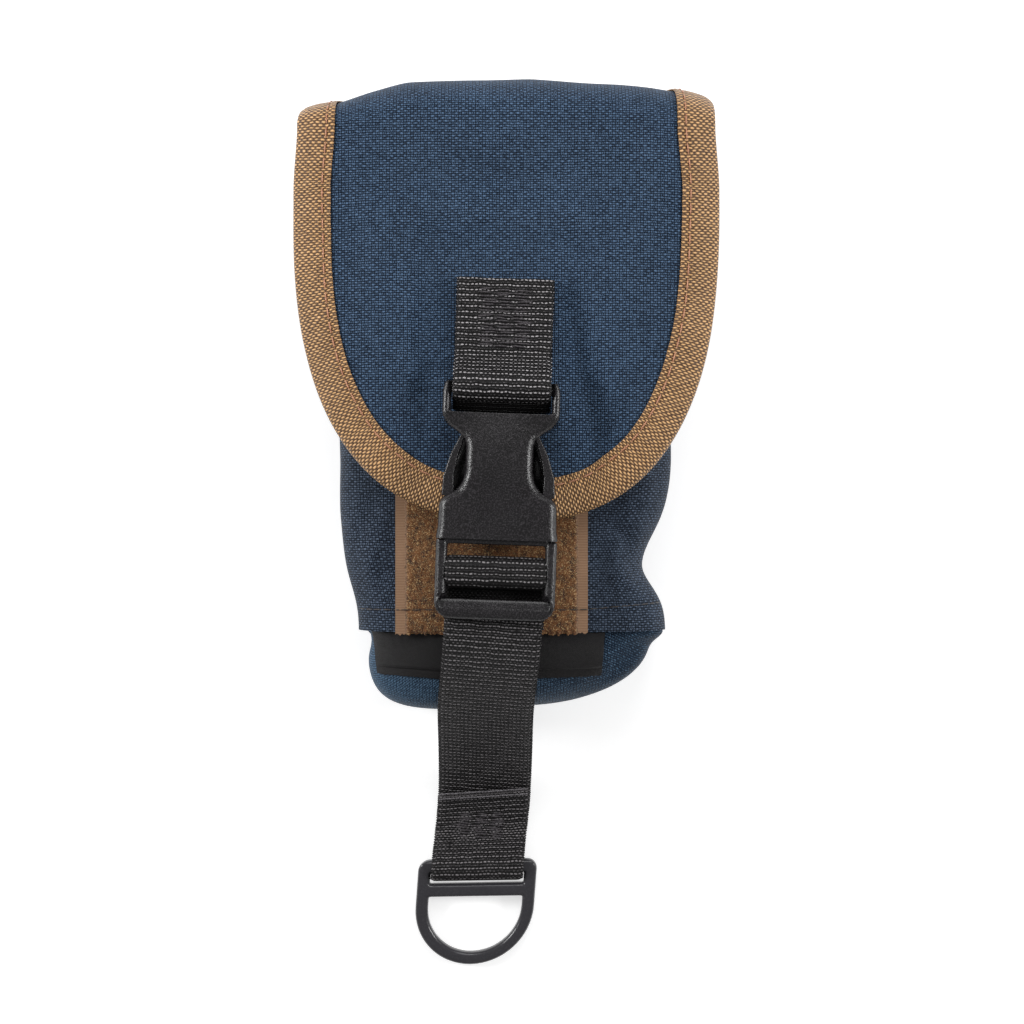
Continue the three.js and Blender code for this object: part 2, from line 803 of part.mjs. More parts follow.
// Webbing from under the middle bar, over it and down under the lower bar
function makeWrapStrap() {
  const run = new THREE.Vector2(lowerBarHigh - middleBarLow, lowerBarCentreW - middleBarCentreW);
  const slope = run.angle() * 180 / Math.PI;
  const cross = Math.asin(2 * wrapReach / run.length()) * 180 / Math.PI;
  const leave = slope + cross - 90;
  const path = [
    new THREE.Vector2(middleBarHigh - strapLead, -middleBarCentreW - wrapReach),
    ...arc(middleBarHigh, -middleBarCentreW, wrapReach, -90, 0, 6),
    ...arc(middleBarHigh, middleBarCentreW, wrapReach, 0, 90, 6),
    ...arc(middleBarLow, middleBarCentreW, wrapReach, 90, leave, 4),
    ...arc(lowerBarHigh, lowerBarCentreW, wrapReach, leave + 180, 270, 4),
    new THREE.Vector2(frameFoot, wrapLow),
  ];
  return strip(path, webWidth, webThick);
}

const flapFace = liningBottom + flapSandwich - buckleMid;
const lowerLayer = flapFace + gap + webThick / 2;
const upperLayer = lowerLayer + webThick + gap;

// Folded webbing: sewn double on the flap, with the fold round the socket's bar
function makeFlapStrap() {
  const barV = socketLength - barLength / 2;
  const steps = 8;
  const climb = [];
  const fall = [];
  for (let i = 0; i <= steps; i++) {
    const v = strapSewn + (barV + strapLead - strapSewn) * i / steps;
    climb.push(new THREE.Vector2(v, ease(upperLayer, strapTurn, i / steps)));
    fall.push(new THREE.Vector2(v, ease(lowerLayer, -strapTurn, i / steps)));
  }
  const path = [
    new THREE.Vector2(strapTop, upperLayer),
    ...climb,
    ...arc(barV, 0, strapTurn, 90, 270, 12),
    ...fall.reverse(),
    new THREE.Vector2(strapTop, lowerLayer),
  ];
  return strip(path, webWidth, webThick);
}

function makeFlapTack() {
  const level = upperLayer + webThick / 2 + gap + threadThick / 2;
  return makeTack(tackWidth, flapTackRows).translate(0, flapTackBottom, level);
}

// Webbing sewn in at the hem, rising under the plug to where it turns round the middle bar
function makeLoadStrap() {
  const low = loopTop + gap + webThick / 2 - buckleMid;
  const high = wrapLow - webThick - gap;
  const path = [new THREE.Vector2(hemY - buckleY + strapLead, low)];
  const steps = 10;
  for (let i = 0; i <= steps; i++) {
    const v = loadRiseStartV + (loadRiseEndV - loadRiseStartV) * i / steps;
    path.push(new THREE.Vector2(v, ease(low, high, i / steps)));
  }
  path.push(new THREE.Vector2(loadEndV, high));
  return strip(path, webWidth, webThick);
}

const floorW = -buckleMid;
const tailStart = frameFoot - gap - webHalf * Math.sin(tailLean) - lowerBarV;
const tailRest = floorW + webThick / 2;

// Height of the tail's centre line, from the lower bar down to the table
function tailPoint(v) {
  return new THREE.Vector2(v, ease(wrapLow, tailRest, (tailStart - v) / tailFall));
}

const splitV = tailStart - tailFall * tailSplitShare;

function tailRun(fromV, toV, steps) {
  return Array.from({ length: steps + 1 }, (_, i) => tailPoint(fromV + (toV - fromV) * i / steps));
}

function makeTailStrap() {
  return strip(tailRun(tailStart, splitV + gap / 2, 24), webWidth, webThick);
}

const ringCorner = Math.hypot(ringBar / 2 - ringChamfer, ringThick / 2);
const ringTurn = ringCorner + gap + webThick / 2;
const ringBarW = tailRest + ringTurn;
const foldClimb = 7;

// Folded-back layer's centre line, which comes off the ring's bar and lies on the lower one
function foldPoint(v, above = 0) {
  const run = tailPoint(v + 0.5).sub(tailPoint(v - 0.5)).normalize();
  const lift = ease(2 * ringTurn, webThick + gap, (v + ringBarFromBar) / foldClimb) + above;
  return tailPoint(v).add(new THREE.Vector2(-run.y * lift, run.x * lift));
}

// Lower part of the tail: along the table, round the ring's bar and back on top of itself
function makeTailEnd() {
  const steps = 24;
  const start = -ringBarFromBar;
  const back = shares(steps).slice(1).map((s) => foldPoint(start + (ringBarFromBar - foldTop) * s));
  const path = [
    ...tailRun(splitV - gap / 2, start, 20),
    ...arc(start, ringBarW, ringTurn, 270, 90, 12).slice(1),
    ...back,
  ];
  return strip(path, webWidth, webThick);
}

function makeTailTack() {
  const geometry = makeTack(tackWidth, tailTackRows);
  geometry.translate(0, -tailTackFrom - tailTackRows * tackPitch, webThick / 2 + gap + threadThick / 2);
  const places = geometry.attributes.position;
  for (let i = 0; i < places.count; i++) {
    const point = foldPoint(places.getY(i), places.getZ(i));
    places.setY(i, point.x);
    places.setZ(i, point.y);
  }
  return geometry;
}

// Flat ring, hanging down from the middle of its upper bar
function makeRing() {
  const outer = ringHalf;
  const inner = ringHalf - ringLimb;
  const outline = new THREE.Shape();
  outline.moveTo(-outer, ringBar / 2);
  outline.lineTo(-outer, -ringStraight);
  outline.absarc(0, -ringStraight, outer, Math.PI, 2 * Math.PI);
  outline.lineTo(outer, ringBar / 2);
  const slotTop = -ringBar / 2;
  const slot = new THREE.Path();
  slot.moveTo(-slotHalf, slotTop);
  slot.lineTo(slotHalf, slotTop);
  slot.lineTo(slotHalf, slotTop - ringSlot);
  slot.lineTo(-slotHalf, slotTop - ringSlot);
  const opening = new THREE.Path();
  const top = slotTop - ringSlot - ringSlotBar;
  opening.moveTo(inner, top);
  opening.lineTo(inner, -ringStraight);
  opening.absarc(0, -ringStraight, inner, 2 * Math.PI, Math.PI, true);
  opening.lineTo(-inner, top);
  outline.holes = [slot, opening];
  const geometry = new THREE.ExtrudeGeometry(outline, {
    depth: ringThick - 2 * ringChamfer,
    bevelThickness: ringChamfer,
    bevelSize: ringChamfer,
    bevelOffset: -ringChamfer,
    bevelSegments: 1,
    curveSegments: 16,
  });
  return geometry.translate(0, 0, ringChamfer - ringThick / 2);
}

// Pouch body
add(root, 'back_panel', makeBackPanel(), material.navyCloth);
add(root, 'front_wrap', makeWrap(), material.navyCloth);
add(root, 'bottom_panel', makeBottomPanel(), material.endCloth);
add(root, 'mouth_binding', makeMouthBinding(), material.binding);
add(root, 'seam_tape_left', makeSeamTape(-1), material.binding);
add(root, 'seam_tape_right', makeSeamTape(1), material.binding);
add(root, 'loop_patch', makeLoopPatch(), material.pile);
add(root, 'label', makeLabel(), material.label);
add(root, 'belt_loop', makeBeltLoop(), material.webbing);
add(root, 'belt_stitch_upper', makeBeltStitch(1), material.thread);
add(root, 'belt_stitch_lower', makeBeltStitch(-1), material.thread);

// Flap
const outerCloth = [flapSandwich / 2 - clothThick, flapSandwich / 2];
const innerCloth = [-flapSandwich / 2, -flapSandwich / 2 + liningThick];
add(root, 'flap_top_panel', makeTopSheet(...outerCloth), material.navyCloth);
add(root, 'flap_top_lining', makeTopSheet(...innerCloth), material.navyCloth);
add(root, 'top_binding_left', makeTopBinding(-1), material.binding);
add(root, 'top_binding_right', makeTopBinding(1), material.binding);
add(root, 'flap_panel', makeFlapSheet(...outerCloth), material.navyCloth);
add(root, 'flap_lining', makeFlapSheet(...innerCloth), material.navyCloth);
add(root, 'flap_binding', makeFlapBinding(), material.binding);
add(root, 'hook_patch', makeHookPatch(), material.pile);

// Buckle and straps share a frame that leans a little to the right
const buckle = new THREE.Group();
buckle.position.set(buckleX, buckleY, buckleMid);
buckle.rotation.z = -buckleLean;
root.add(buckle);
add(buckle, 'flap_strap', makeFlapStrap(), material.webbing);
add(buckle, 'flap_bartack', makeFlapTack(), material.thread);
add(buckle, 'buckle_socket', makeSocket(), material.plastic);
add(buckle, 'buckle_plug', makePlug(), material.plastic);
add(buckle, 'latch_arm_left', makeArm(-1), material.plastic);
add(buckle, 'latch_arm_right', makeArm(1), material.plastic);
add(buckle, 'strap_wrap', makeWrapStrap(), material.webbing);
add(buckle, 'load_strap', makeLoadStrap(), material.webbing);

// The tail leans a little more, from the plug's lower bar
const tail = new THREE.Group();
tail.position.set(0, lowerBarV, 0);
tail.rotation.z = -tailLean;
buckle.add(tail);
add(tail, 'tail_strap', makeTailStrap(), material.webbing);
add(tail, 'tail_end', makeTailEnd(), material.webbing);
add(tail, 'tail_bartack', makeTailTack(), material.thread);

// The ring lies on the table at its round end
const ring = add(tail, 'd_ring', makeRing(), material.plastic);
ring.position.set(0, -ringBarFromBar, ringBarW);
ring.rotation.x = Math.asin((ringBarW - floorW - ringThick / 2) / (ringStraight + ringHalf));

export default root;
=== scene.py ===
# Phone belt pouch: cloth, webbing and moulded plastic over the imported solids.
# Shapes are worked out in millimetres and put into the meshes in metres.
import json
import math

import bmesh
import bpy
import numpy as np
from mathutils import Matrix, Vector

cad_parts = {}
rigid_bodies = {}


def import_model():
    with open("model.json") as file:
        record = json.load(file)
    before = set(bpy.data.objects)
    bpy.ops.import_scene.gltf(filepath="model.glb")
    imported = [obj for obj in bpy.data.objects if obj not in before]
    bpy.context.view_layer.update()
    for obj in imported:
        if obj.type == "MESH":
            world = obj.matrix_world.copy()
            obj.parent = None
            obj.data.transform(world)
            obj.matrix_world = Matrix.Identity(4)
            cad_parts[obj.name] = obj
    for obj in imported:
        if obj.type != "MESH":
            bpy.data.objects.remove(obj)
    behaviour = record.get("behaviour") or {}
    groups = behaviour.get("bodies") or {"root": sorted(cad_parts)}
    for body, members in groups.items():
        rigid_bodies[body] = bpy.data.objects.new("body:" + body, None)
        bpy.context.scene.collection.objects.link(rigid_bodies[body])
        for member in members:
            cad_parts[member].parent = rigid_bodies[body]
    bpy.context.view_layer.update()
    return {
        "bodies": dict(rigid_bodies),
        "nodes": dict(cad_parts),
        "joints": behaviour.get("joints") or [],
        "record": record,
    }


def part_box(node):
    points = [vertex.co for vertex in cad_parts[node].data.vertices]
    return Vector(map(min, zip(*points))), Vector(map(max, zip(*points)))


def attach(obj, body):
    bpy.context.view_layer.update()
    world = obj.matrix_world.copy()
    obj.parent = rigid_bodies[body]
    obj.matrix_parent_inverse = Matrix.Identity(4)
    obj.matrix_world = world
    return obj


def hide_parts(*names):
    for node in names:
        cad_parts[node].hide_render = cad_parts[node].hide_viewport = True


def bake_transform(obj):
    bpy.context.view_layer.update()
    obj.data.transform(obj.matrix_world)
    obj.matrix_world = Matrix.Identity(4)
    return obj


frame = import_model()
mm = 0.001
joints = {joint["name"]: joint for joint in frame["joints"]}


def lowHigh(node):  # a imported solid's corners in millimetres
    low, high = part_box(node)
    return np.array(low) / mm, np.array(high) / mm


# Camera and light
view = {"x": 1.5, "y": 6.2, "height": 580.0, "lens": 73.8, "sensor": 36.0, "near": 0.01}
lamps = {
    "leftBox": {"place": (-0.85, 0.25, 0.5), "size": 0.3, "power": 6.5},
    "rightBox": {"place": (0.88, 0.1, 0.5), "size": 0.3, "power": 5.2},
    "topBox": {"place": (0.1, 0.9, 0.72), "size": 0.6, "power": 4.2},
}
roomLight = 0.3

cameraData = bpy.data.cameras.new("camera")
cameraData.lens = view["lens"]
cameraData.sensor_width = view["sensor"]
cameraData.clip_start = view["near"]
camera = bpy.data.objects.new("camera", cameraData)
camera.location = (view["x"] * mm, view["y"] * mm, view["height"] * mm)
bpy.context.collection.objects.link(camera)
bpy.context.scene.camera = camera
bpy.context.scene.view_settings.view_transform = "Standard"


def addSoftbox(name, place, size, power):  # a square lamp that looks at the pouch
    data = bpy.data.lights.new(name, "AREA")
    data.size = size
    data.energy = power
    lamp = bpy.data.objects.new(name, data)
    lamp.location = place
    lamp.rotation_euler = (-Vector(place)).to_track_quat("-Z", "Y").to_euler()
    bpy.context.collection.objects.link(lamp)


for name, lamp in lamps.items():
    addSoftbox(name, **lamp)


# One shader socket that works in plain arithmetic
class Wire:
    def __init__(self, paint, socket):
        self.paint = paint
        self.socket = socket

    def math(self, operation, *values):  # a Math node on these values
        return self.paint.node("Math", dict(enumerate(values)), operation=operation)

    def __add__(self, other):
        return self.math("ADD", self, other)

    def __sub__(self, other):
        return self.math("SUBTRACT", self, other)

    def __mul__(self, other):
        return self.math("MULTIPLY", self, other)

    def __truediv__(self, other):
        return self.math("DIVIDE", self, other)

    def __mod__(self, other):
        return self.math("FLOORED_MODULO", self, other)

    def __pow__(self, other):
        return self.math("POWER", self, other)

    def __rsub__(self, other):
        return self.math("SUBTRACT", other, self)

    __radd__ = __add__
    __rmul__ = __mul__

    def floor(self):
        return self.math("FLOOR", self)

    def part(self):  # what is left after the whole number
        return self.math("FRACT", self)

    def size(self):
        return self.math("ABSOLUTE", self)

    def most(self, other):
        return self.math("MAXIMUM", self, other)

    def wave(self):
        return self.math("SINE", self)

    def rise(self, low, high):  # 0 below low, 1 above high, smooth between
        limits = {"Value": self, "From Min": low, "From Max": high}
        return self.paint.node("MapRange", limits, interpolation_type="SMOOTHSTEP")


# A material: node() adds any node, from its type, its sockets and its settings
class Paint:
    def __init__(self, name, **fixed):
        self.material = bpy.data.materials.new(name)
        self.material.use_nodes = True
        self.tree = self.material.node_tree
        self.shader = self.tree.nodes["Principled BSDF"]
        for socket, value in fixed.items():
            self.shader.inputs[socket.replace("_", " ")].default_value = value

    def node(self, kind, sockets=None, out=0, **settings):  # the settings are set first
        made = self.tree.nodes.new("ShaderNode" + kind)
        for key, value in settings.items():
            setattr(made, key, value)
        for key, value in (sockets or {}).items():
            if isinstance(value, Wire):
                self.tree.links.new(value.socket, made.inputs[key])
            else:
                made.inputs[key].default_value = value
        return Wire(self, made.outputs[out])

    def feed(self, socket, wire):  # into one of the shader's own sockets
        self.tree.links.new(wire.socket, self.shader.inputs[socket])

    def mix(self, share, low, high):  # low where share is 0, high where it is 1
        return self.node("Mix", {0: share, 6: low, 7: high}, 2, data_type="RGBA")

    def cloth(self):  # the piece's own UV map, in millimetres
        return self.node("UVMap")

    def across(self, vector):  # a vector's first part
        return self.node("SeparateXYZ", {0: vector})

    def along(self, vector):  # a vector's second part
        return self.node("SeparateXYZ", {0: vector}, 1)

    def noise(self, vector, scale, detail=2.0, roughness=0.5):
        sockets = {"Vector": vector, "Scale": scale, "Detail": detail, "Roughness": roughness}
        return self.node("TexNoise", sockets)

    def cells(self, u, v):  # one random number for each cell of a grid
        cell = u.floor() * 1.37 + v.floor() * 71.3
        return self.node("TexWhiteNoise", {"W": cell}, noise_dimensions="1D")

    def bump(self, height, depth):  # depth in millimetres
        self.feed("Normal", self.node("Bump", {"Height": height, "Distance": depth * mm}))

    def pushed(self, vector, scale, reach):  # the same vector, wandering by up to reach
        shift = self.node("TexNoise", {"Vector": vector, "Scale": scale, "Detail": 1.0}, 1)
        centred = self.node("VectorMath", {0: shift, 1: (0.5, 0.5, 0.5)}, operation="SUBTRACT")
        scaled = self.node("VectorMath", {0: centred, "Scale": 2 * reach}, operation="SCALE")
        return self.node("VectorMath", {0: vector, 1: scaled}, operation="ADD")


# the colours of the real cloth and of painted light and shade alike
def screenColour(red, green, blue):  # a screen colour from 0 to 255, made linear
    def linear(part):  # the screen's curve undone: straight near black, a power above
        part /= 255
        return part / 12.92 if part < 0.04045 else ((part + 0.055) / 1.055) ** 2.4

    return (linear(red), linear(green), linear(blue), 1.0)


# Plain weave: in every other cell of a chequer a crossing thread lies on top as a long dash,
# which reaches a little past its cell before it dives. A pair of running threads shows in the
# other cells. A section is one minus its offset squared, to the power full. The second value
# is random for each cell
def weave(paint, place, look):
    u = paint.across(place) / look["across"]
    v = paint.along(place) / look["along"]
    over = (u.floor() + v.floor()) % 2
    a = (u.part() * 2 - 1).size()
    b = v.part() * 2 - 1
    pair = (u * 2).part() * 2 - 1
    roundB = (1 - b * b) ** look["full"]
    far = (a + (1 - over) * (2 - 2 * a)) / look["reach"]
    dash = roundB * (1 - far ** look["blunt"]).most(0)
    roundPair = (1 - pair * pair) ** look["full"]
    running = roundPair * (roundB * 0.5 + 0.5) * (1 - over) * look["running"]
    return dash.most(running), paint.cells(u, v)


# Cloth: the weave's height times fibre, cell and patch noise is a tone that mixes two colours, so the gaps
# between threads carry painted shade and the dashes painted highlight. It may carry painted light on
# the left, fading to painted shade on the right
def makeWeavePaint(name, look):
    paint = Paint(name, Roughness=look["rough"], Specular_IOR_Level=look["gloss"])
    place = paint.pushed(paint.cloth(), look["wanderScale"], look["wander"])
    height, cell = weave(paint, place, look)
    fibre = paint.noise(place, 3.0, 3.0, 0.65)
    patch = paint.noise(place, 0.06, 2.0)
    # painted shade in the gaps and painted highlight on the dashes, from the weave's height
    tone = height * (0.4 + 0.9 * fibre + 0.3 * cell) * (0.9 + 0.2 * patch)
    # painted light on the left, fading to painted shade on the right
    if "sideShade" in look:
        fromLeft = paint.across(paint.cloth()).rise(look["sideShadeFrom"], look["sideShadeTo"])
        tone = tone * (1 + look["sideShade"] / 2 - look["sideShade"] * fromLeft)
    shade = tone.rise(look["low"], look["high"])
    paint.feed("Base Color", paint.mix(shade, look["dark"], look["light"]))
    paint.bump(height + 0.15 * fibre, look["depth"])
    return paint


# Cloths: cell sizes in millimetres, dash and thread shapes, colours with the tones between
# which they mix, roughness, gloss and bump, and how far the threads wander
navy = {
    "across": 0.88, "along": 0.63, "running": 0.78, "full": 0.7, "reach": 1.15, "blunt": 3.0,
    "dark": screenColour(5, 16, 32), "light": screenColour(90, 116, 147), "low": 0.33, "high": 1.07,
    "rough": 0.55, "gloss": 0.12, "depth": 0.2, "wander": 0.2, "wanderScale": 0.6,
}
# darker copy of the navy cloth for the front: painted shade where the flap overhangs it
shadedNavy = {**navy, "running": 0.8, "dark": screenColour(4, 12, 24), "light": screenColour(90, 104, 124), "low": 0.36}
# brighter copy of the navy cloth for the rounded end: painted light on a panel turned to the lamps, with
# painted light on the left fading to painted shade on the right
litNavy = {
    **navy, "running": 0.9, "dark": screenColour(12, 28, 45), "light": screenColour(84, 112, 138), "low": 0.36,
    "sideShade": 0.42, "sideShadeFrom": -34.0, "sideShadeTo": 36.0,
}
brown = {
    "across": 0.78, "along": 0.68, "running": 0.42, "full": 0.8, "reach": 1.45, "blunt": 3.0,
    "dark": screenColour(64, 35, 16), "light": screenColour(240, 190, 132), "low": 0.1, "high": 1.12,
    "rough": 0.42, "gloss": 0.4, "depth": 0.26, "wander": 0.34, "wanderScale": 0.4,
}
tab = {
    "across": 0.22, "along": 0.26, "running": 0.8, "full": 1.0, "reach": 1.3, "blunt": 4.0,
    "dark": screenColour(8, 7, 8), "light": screenColour(40, 38, 39), "low": 0.1, "high": 1.2,
    "rough": 0.6, "gloss": 0.3, "depth": 0.05, "wander": 0.05, "wanderScale": 0.3,
}
navyPaint = makeWeavePaint("navyCloth", navy)
shadedNavyPaint = makeWeavePaint("shadedNavyCloth", shadedNavy)
litNavyPaint = makeWeavePaint("litNavyCloth", litNavy)
brownPaint = makeWeavePaint("brownTape", brown)
tabPaint = makeWeavePaint("bareTab", tab)


# Webbing: rows of beads, each row half a bead aside of the last. Every other row sinks where
# a slow noise says so, which leaves plain cross ribs. The beads' height sets the tone: painted
# highlight on their tops, painted shade between. It may carry painted shade from one length to
# another, where the webbing turns into a slot
def makeWebPaint(name, look):
    paint = Paint(name, Roughness=look["rough"], Specular_IOR_Level=look["gloss"])
    place = paint.pushed(paint.cloth(), look["wanderScale"], look["wander"])
    v = paint.along(place) / look["along"]
    odd = v.floor() % 2
    u = paint.across(place) / (2 * look["across"]) + 0.5 * odd
    a = u.part() * 2 - 1
    b = v.part() * 2 - 1
    height = (1 - a * a) ** look["full"] * (1 - b * b) ** (2 * look["full"])
    cell = paint.cells(u, v)
    flattened = paint.node("VectorMath", {0: paint.cloth(), 1: look["stretch"]}, operation="MULTIPLY")
    ribbed = paint.noise(flattened, 1.0, 1.0).rise(look["sunkLow"], look["sunkHigh"])
    fibre = paint.noise(place, 2.7, 3.0, 0.65)
    level = height * (1 - odd * ribbed * look["sunk"])
    # painted highlight on the bead tops and painted shade between them, from their height
    tone = level * (1.9 * fibre + 0.5 * cell)
    # painted shade over the stretch that turns into a slot
    if "slotShadeFrom" in look:
        tone = tone * (1 - paint.along(paint.cloth()).rise(look["slotShadeFrom"], look["slotShadeTo"]))
    paint.feed("Base Color", paint.mix(tone.rise(look["low"], look["high"]), look["dark"], look["light"]))
    paint.bump(level + 0.1 * fibre, look["depth"])
    return paint


# black webbing whose bead tops mix up to near white: painted highlights
blackWeb = {
    "across": 0.53, "along": 0.71, "full": 1.15, "dark": screenColour(12, 10, 11), "light": screenColour(196, 192, 194),
    "low": 0.3, "high": 1.15, "rough": 0.5, "gloss": 0.25, "depth": 0.4, "wander": 0.3, "wanderScale": 0.45,
    "sunk": 0.6, "sunkLow": 0.3, "sunkHigh": 0.42, "stretch": (0.004, 0.1, 1.0),
}
# webbing round the plug: painted shade down its turn under the lower bar, and less bright bead tops
wrapWeb = {**blackWeb, "light": screenColour(150, 146, 148), "slotShadeFrom": 11.8, "slotShadeTo": 15.2}
# flap's webbing: painted shade on its turn inside the socket's slot
flapWeb = {**blackWeb, "slotShadeFrom": 33.6, "slotShadeTo": 36.0}
dullWeb = {**blackWeb, "light": screenColour(134, 130, 132), "low": 0.33, "high": 1.05, "full": 0.9, "sunk": 0.5}
webPaint = makeWebPaint("blackWebbing", blackWeb)
flapWebPaint = makeWebPaint("flapWebbing", flapWeb)
wrapWebPaint = makeWebPaint("wrapWebbing", wrapWeb)
dullWebPaint = makeWebPaint("dullWebbing", dullWeb)

pile = {
    "halfWidth": 25.0, "selvedge": 2.9, "soft": 0.4, "rib": 0.42, "glint": 0.62, "depth": 0.5,
    "dark": screenColour(44, 23, 8), "middle": screenColour(127, 79, 36), "bright": screenColour(250, 212, 150),
    "tape": screenColour(178, 142, 112), "tapeDark": screenColour(122, 90, 64),
}


# Loops are fine noise stretched into short curls, plain and finely ribbed at both selvedges
def makePilePaint():
    paint = Paint("loopPile", Roughness=0.85, Sheen_Weight=0.1, Sheen_Roughness=0.6)
    place = paint.pushed(paint.cloth(), 0.9, 0.5)
    curls = paint.noise(place, 2.8, 4.0, 0.7)
    clumps = paint.noise(place, 0.5, 2.0)
    # glints: painted highlights on the loops, mixed in towards the bright colour
    glints = paint.noise(place, 3.2, 3.0, 0.7).rise(0.55, 0.62)
    border = pile["halfWidth"] - pile["selvedge"]
    ragged = paint.across(paint.cloth()).size() + (curls - 0.5) * 3.0
    edge = ragged.rise(border - pile["soft"], border + pile["soft"])
    ribs = (paint.along(paint.cloth()) * (2 * math.pi / pile["rib"])).wave() * 0.5 + 0.5
    loops = paint.mix((curls * 0.8 + clumps * 0.45).rise(0.5, 0.68), pile["dark"], pile["middle"])
    loops = paint.mix(glints * pile["glint"], loops, pile["bright"])
    tape = paint.mix(ribs * 0.6 + curls * 0.3, pile["tapeDark"], pile["tape"])
    paint.feed("Base Color", paint.mix(edge, loops, tape))
    paint.bump((curls + 0.6 * clumps) * (1 - edge) + (0.25 + 0.1 * ribs) * edge, pile["depth"])
    return paint


hook = {"across": 1.3, "along": 1.1, "depth": 0.5, "dark": screenColour(52, 36, 22), "light": screenColour(128, 96, 66)}


# Small hooks in staggered rows on a woven back. Their tips are mixed towards the light colour over a
# darker back: painted light and shade on their relief
def makeHookPaint():
    paint = Paint("hookRows", Roughness=0.6)
    u = paint.across(paint.cloth()) / hook["across"]
    v = paint.along(paint.cloth()) / hook["along"]
    shifted = u + (v.floor() % 2) * 0.5
    a = shifted.part() * 2 - 1
    b = v.part() * 2 - 1
    tips = (1 - (a * a + b * b) * 2.2).rise(0.0, 0.7)
    grain = paint.noise(paint.cloth(), 4.0, 2.0)
    paint.feed("Base Color", paint.mix(tips * 0.8 + grain * 0.2, hook["dark"], hook["light"]))
    paint.bump(tips, hook["depth"])
    return paint


# Moulded plastic: a fine spark-eroded grain, worn a little smoother in places. Pale dots of the grain
# in the colour are painted glints
def makePlasticPaint(name, colour, pale, grain, depth):
    paint = Paint(name, Specular_IOR_Level=0.5)
    inObject = paint.node("TexCoord", out=3)
    place = paint.node("VectorMath", {0: inObject, "Scale": 1 / mm}, operation="SCALE")
    fine = paint.noise(place, grain, 3.0, 0.65)
    broad = paint.noise(place, 0.12, 2.0)
    # pale dots of the grain: painted glints
    glintSpeck = fine.rise(0.46, 0.66)
    paint.feed("Base Color", paint.mix(glintSpeck * 0.6 + broad * 0.25, colour, pale))
    paint.feed("Roughness", 0.12 + 0.16 * fine + 0.06 * broad)
    paint.bump(fine, depth)
    return paint


# Thread: two dyes mixed by a fine noise
def makeThreadPaint(name, dark, light):
    paint = Paint(name, Roughness=0.45)
    twist = paint.noise(paint.cloth(), 2.2, 2.0)
    paint.feed("Base Color", paint.mix(twist.rise(0.3, 0.7), dark, light))
    return paint


pilePaint = makePilePaint()
hookPaint = makeHookPaint()
bucklePaint = makePlasticPaint("bucklePlastic", screenColour(4, 3, 4), screenColour(64, 61, 64), 2.5, 0.09)
ringPaint = makePlasticPaint("ringPlastic", screenColour(48, 47, 51), screenColour(60, 59, 63), 2.0, 0.015)
blackThread = makeThreadPaint("blackThread", screenColour(22, 20, 22), screenColour(84, 79, 83))
# pale thread for the fold's cut end: a painted highlight
highlightThread = makeThreadPaint("highlightThread", screenColour(40, 38, 40), screenColour(118, 114, 118))
tanThread = makeThreadPaint("tanThread", screenColour(150, 92, 66), screenColour(222, 166, 132))
brownThread = makeThreadPaint("brownThread", screenColour(30, 26, 26), screenColour(78, 68, 62))
print("materials made")


def between(low, high, share):  # straight blend between two levels
    return low + (high - low) * share


def ease(low, high, share):  # half-cosine blend between two levels
    return between(low, high, (1 - np.cos(np.pi * np.clip(share, 0, 1))) / 2)


def rise(low, high, value):  # 0 below low, 1 above high, smooth between
    t = np.clip((value - low) / (high - low), 0, 1)
    return t * t * (3 - 2 * t)


def hill(value, centre, span):  # bell curve
    return np.exp(-(((value - centre) / span) ** 2))


def pack(*columns):  # numbers side by side as the last axis, each stretched to the widest
    return np.stack(np.broadcast_arrays(*columns), axis=-1)


def unit(vectors):  # vectors divided by their lengths
    return vectors / np.maximum(np.linalg.norm(vectors, axis=-1, keepdims=True), 1e-12)


# Slow unevenness of cloth: a few sine waves in fixed directions
def ripple(x, y, length, seed):
    random = np.random.default_rng(seed)
    total = np.zeros(np.broadcast(x, y).shape)
    for _ in range(5):
        turn, phase = random.uniform(0, 2 * np.pi, 2)
        run = length * random.uniform(0.7, 1.5)
        total = total + np.sin((x * np.cos(turn) + y * np.sin(turn)) * 2 * np.pi / run + phase)
    return total / 5


def ripples(x, y, table):  # sum of ripples, each with its height, length and seed
    return sum(height * ripple(x, y, length, seed) for height, length, seed in table)


# Crease: a ridge or valley on the line from one point to another, with soft flanks and ends
def crease(x, y, start, end, span, height):
    line = np.array(end, float) - np.array(start, float)
    length = np.hypot(*line)
    line /= length
    forward = (x - start[0]) * line[0] + (y - start[1]) * line[1]
    aside = (x - start[0]) * -line[1] + (y - start[1]) * line[0]
    ends = rise(-0.25 * length, 0.25 * length, forward) * (1 - rise(0.75 * length, 1.25 * length, forward))
    return height * np.exp(-((aside / span) ** 2)) * ends


def creases(x, y, table):  # sum of the creases in a table
    return sum(crease(x, y, *row) for row in table)


# Mesh from points in millimetres, with its UV map, smooth but for edges past an angle
def addMesh(name, points, faces, uv, sharp=40.0):
    mesh = bpy.data.meshes.new(name)
    mesh.from_pydata((np.asarray(points, float) * mm).tolist(), [], faces)
    layer = mesh.uv_layers.new(name="cloth")
    layer.data.foreach_set("uv", np.asarray(uv, float).ravel())
    mesh.polygons.foreach_set("use_smooth", np.ones(len(faces), bool))
    mesh.set_sharp_from_angle(angle=math.radians(sharp))
    mesh.update()
    piece = bpy.data.objects.new(name, mesh)
    bpy.context.collection.objects.link(piece)
    return piece


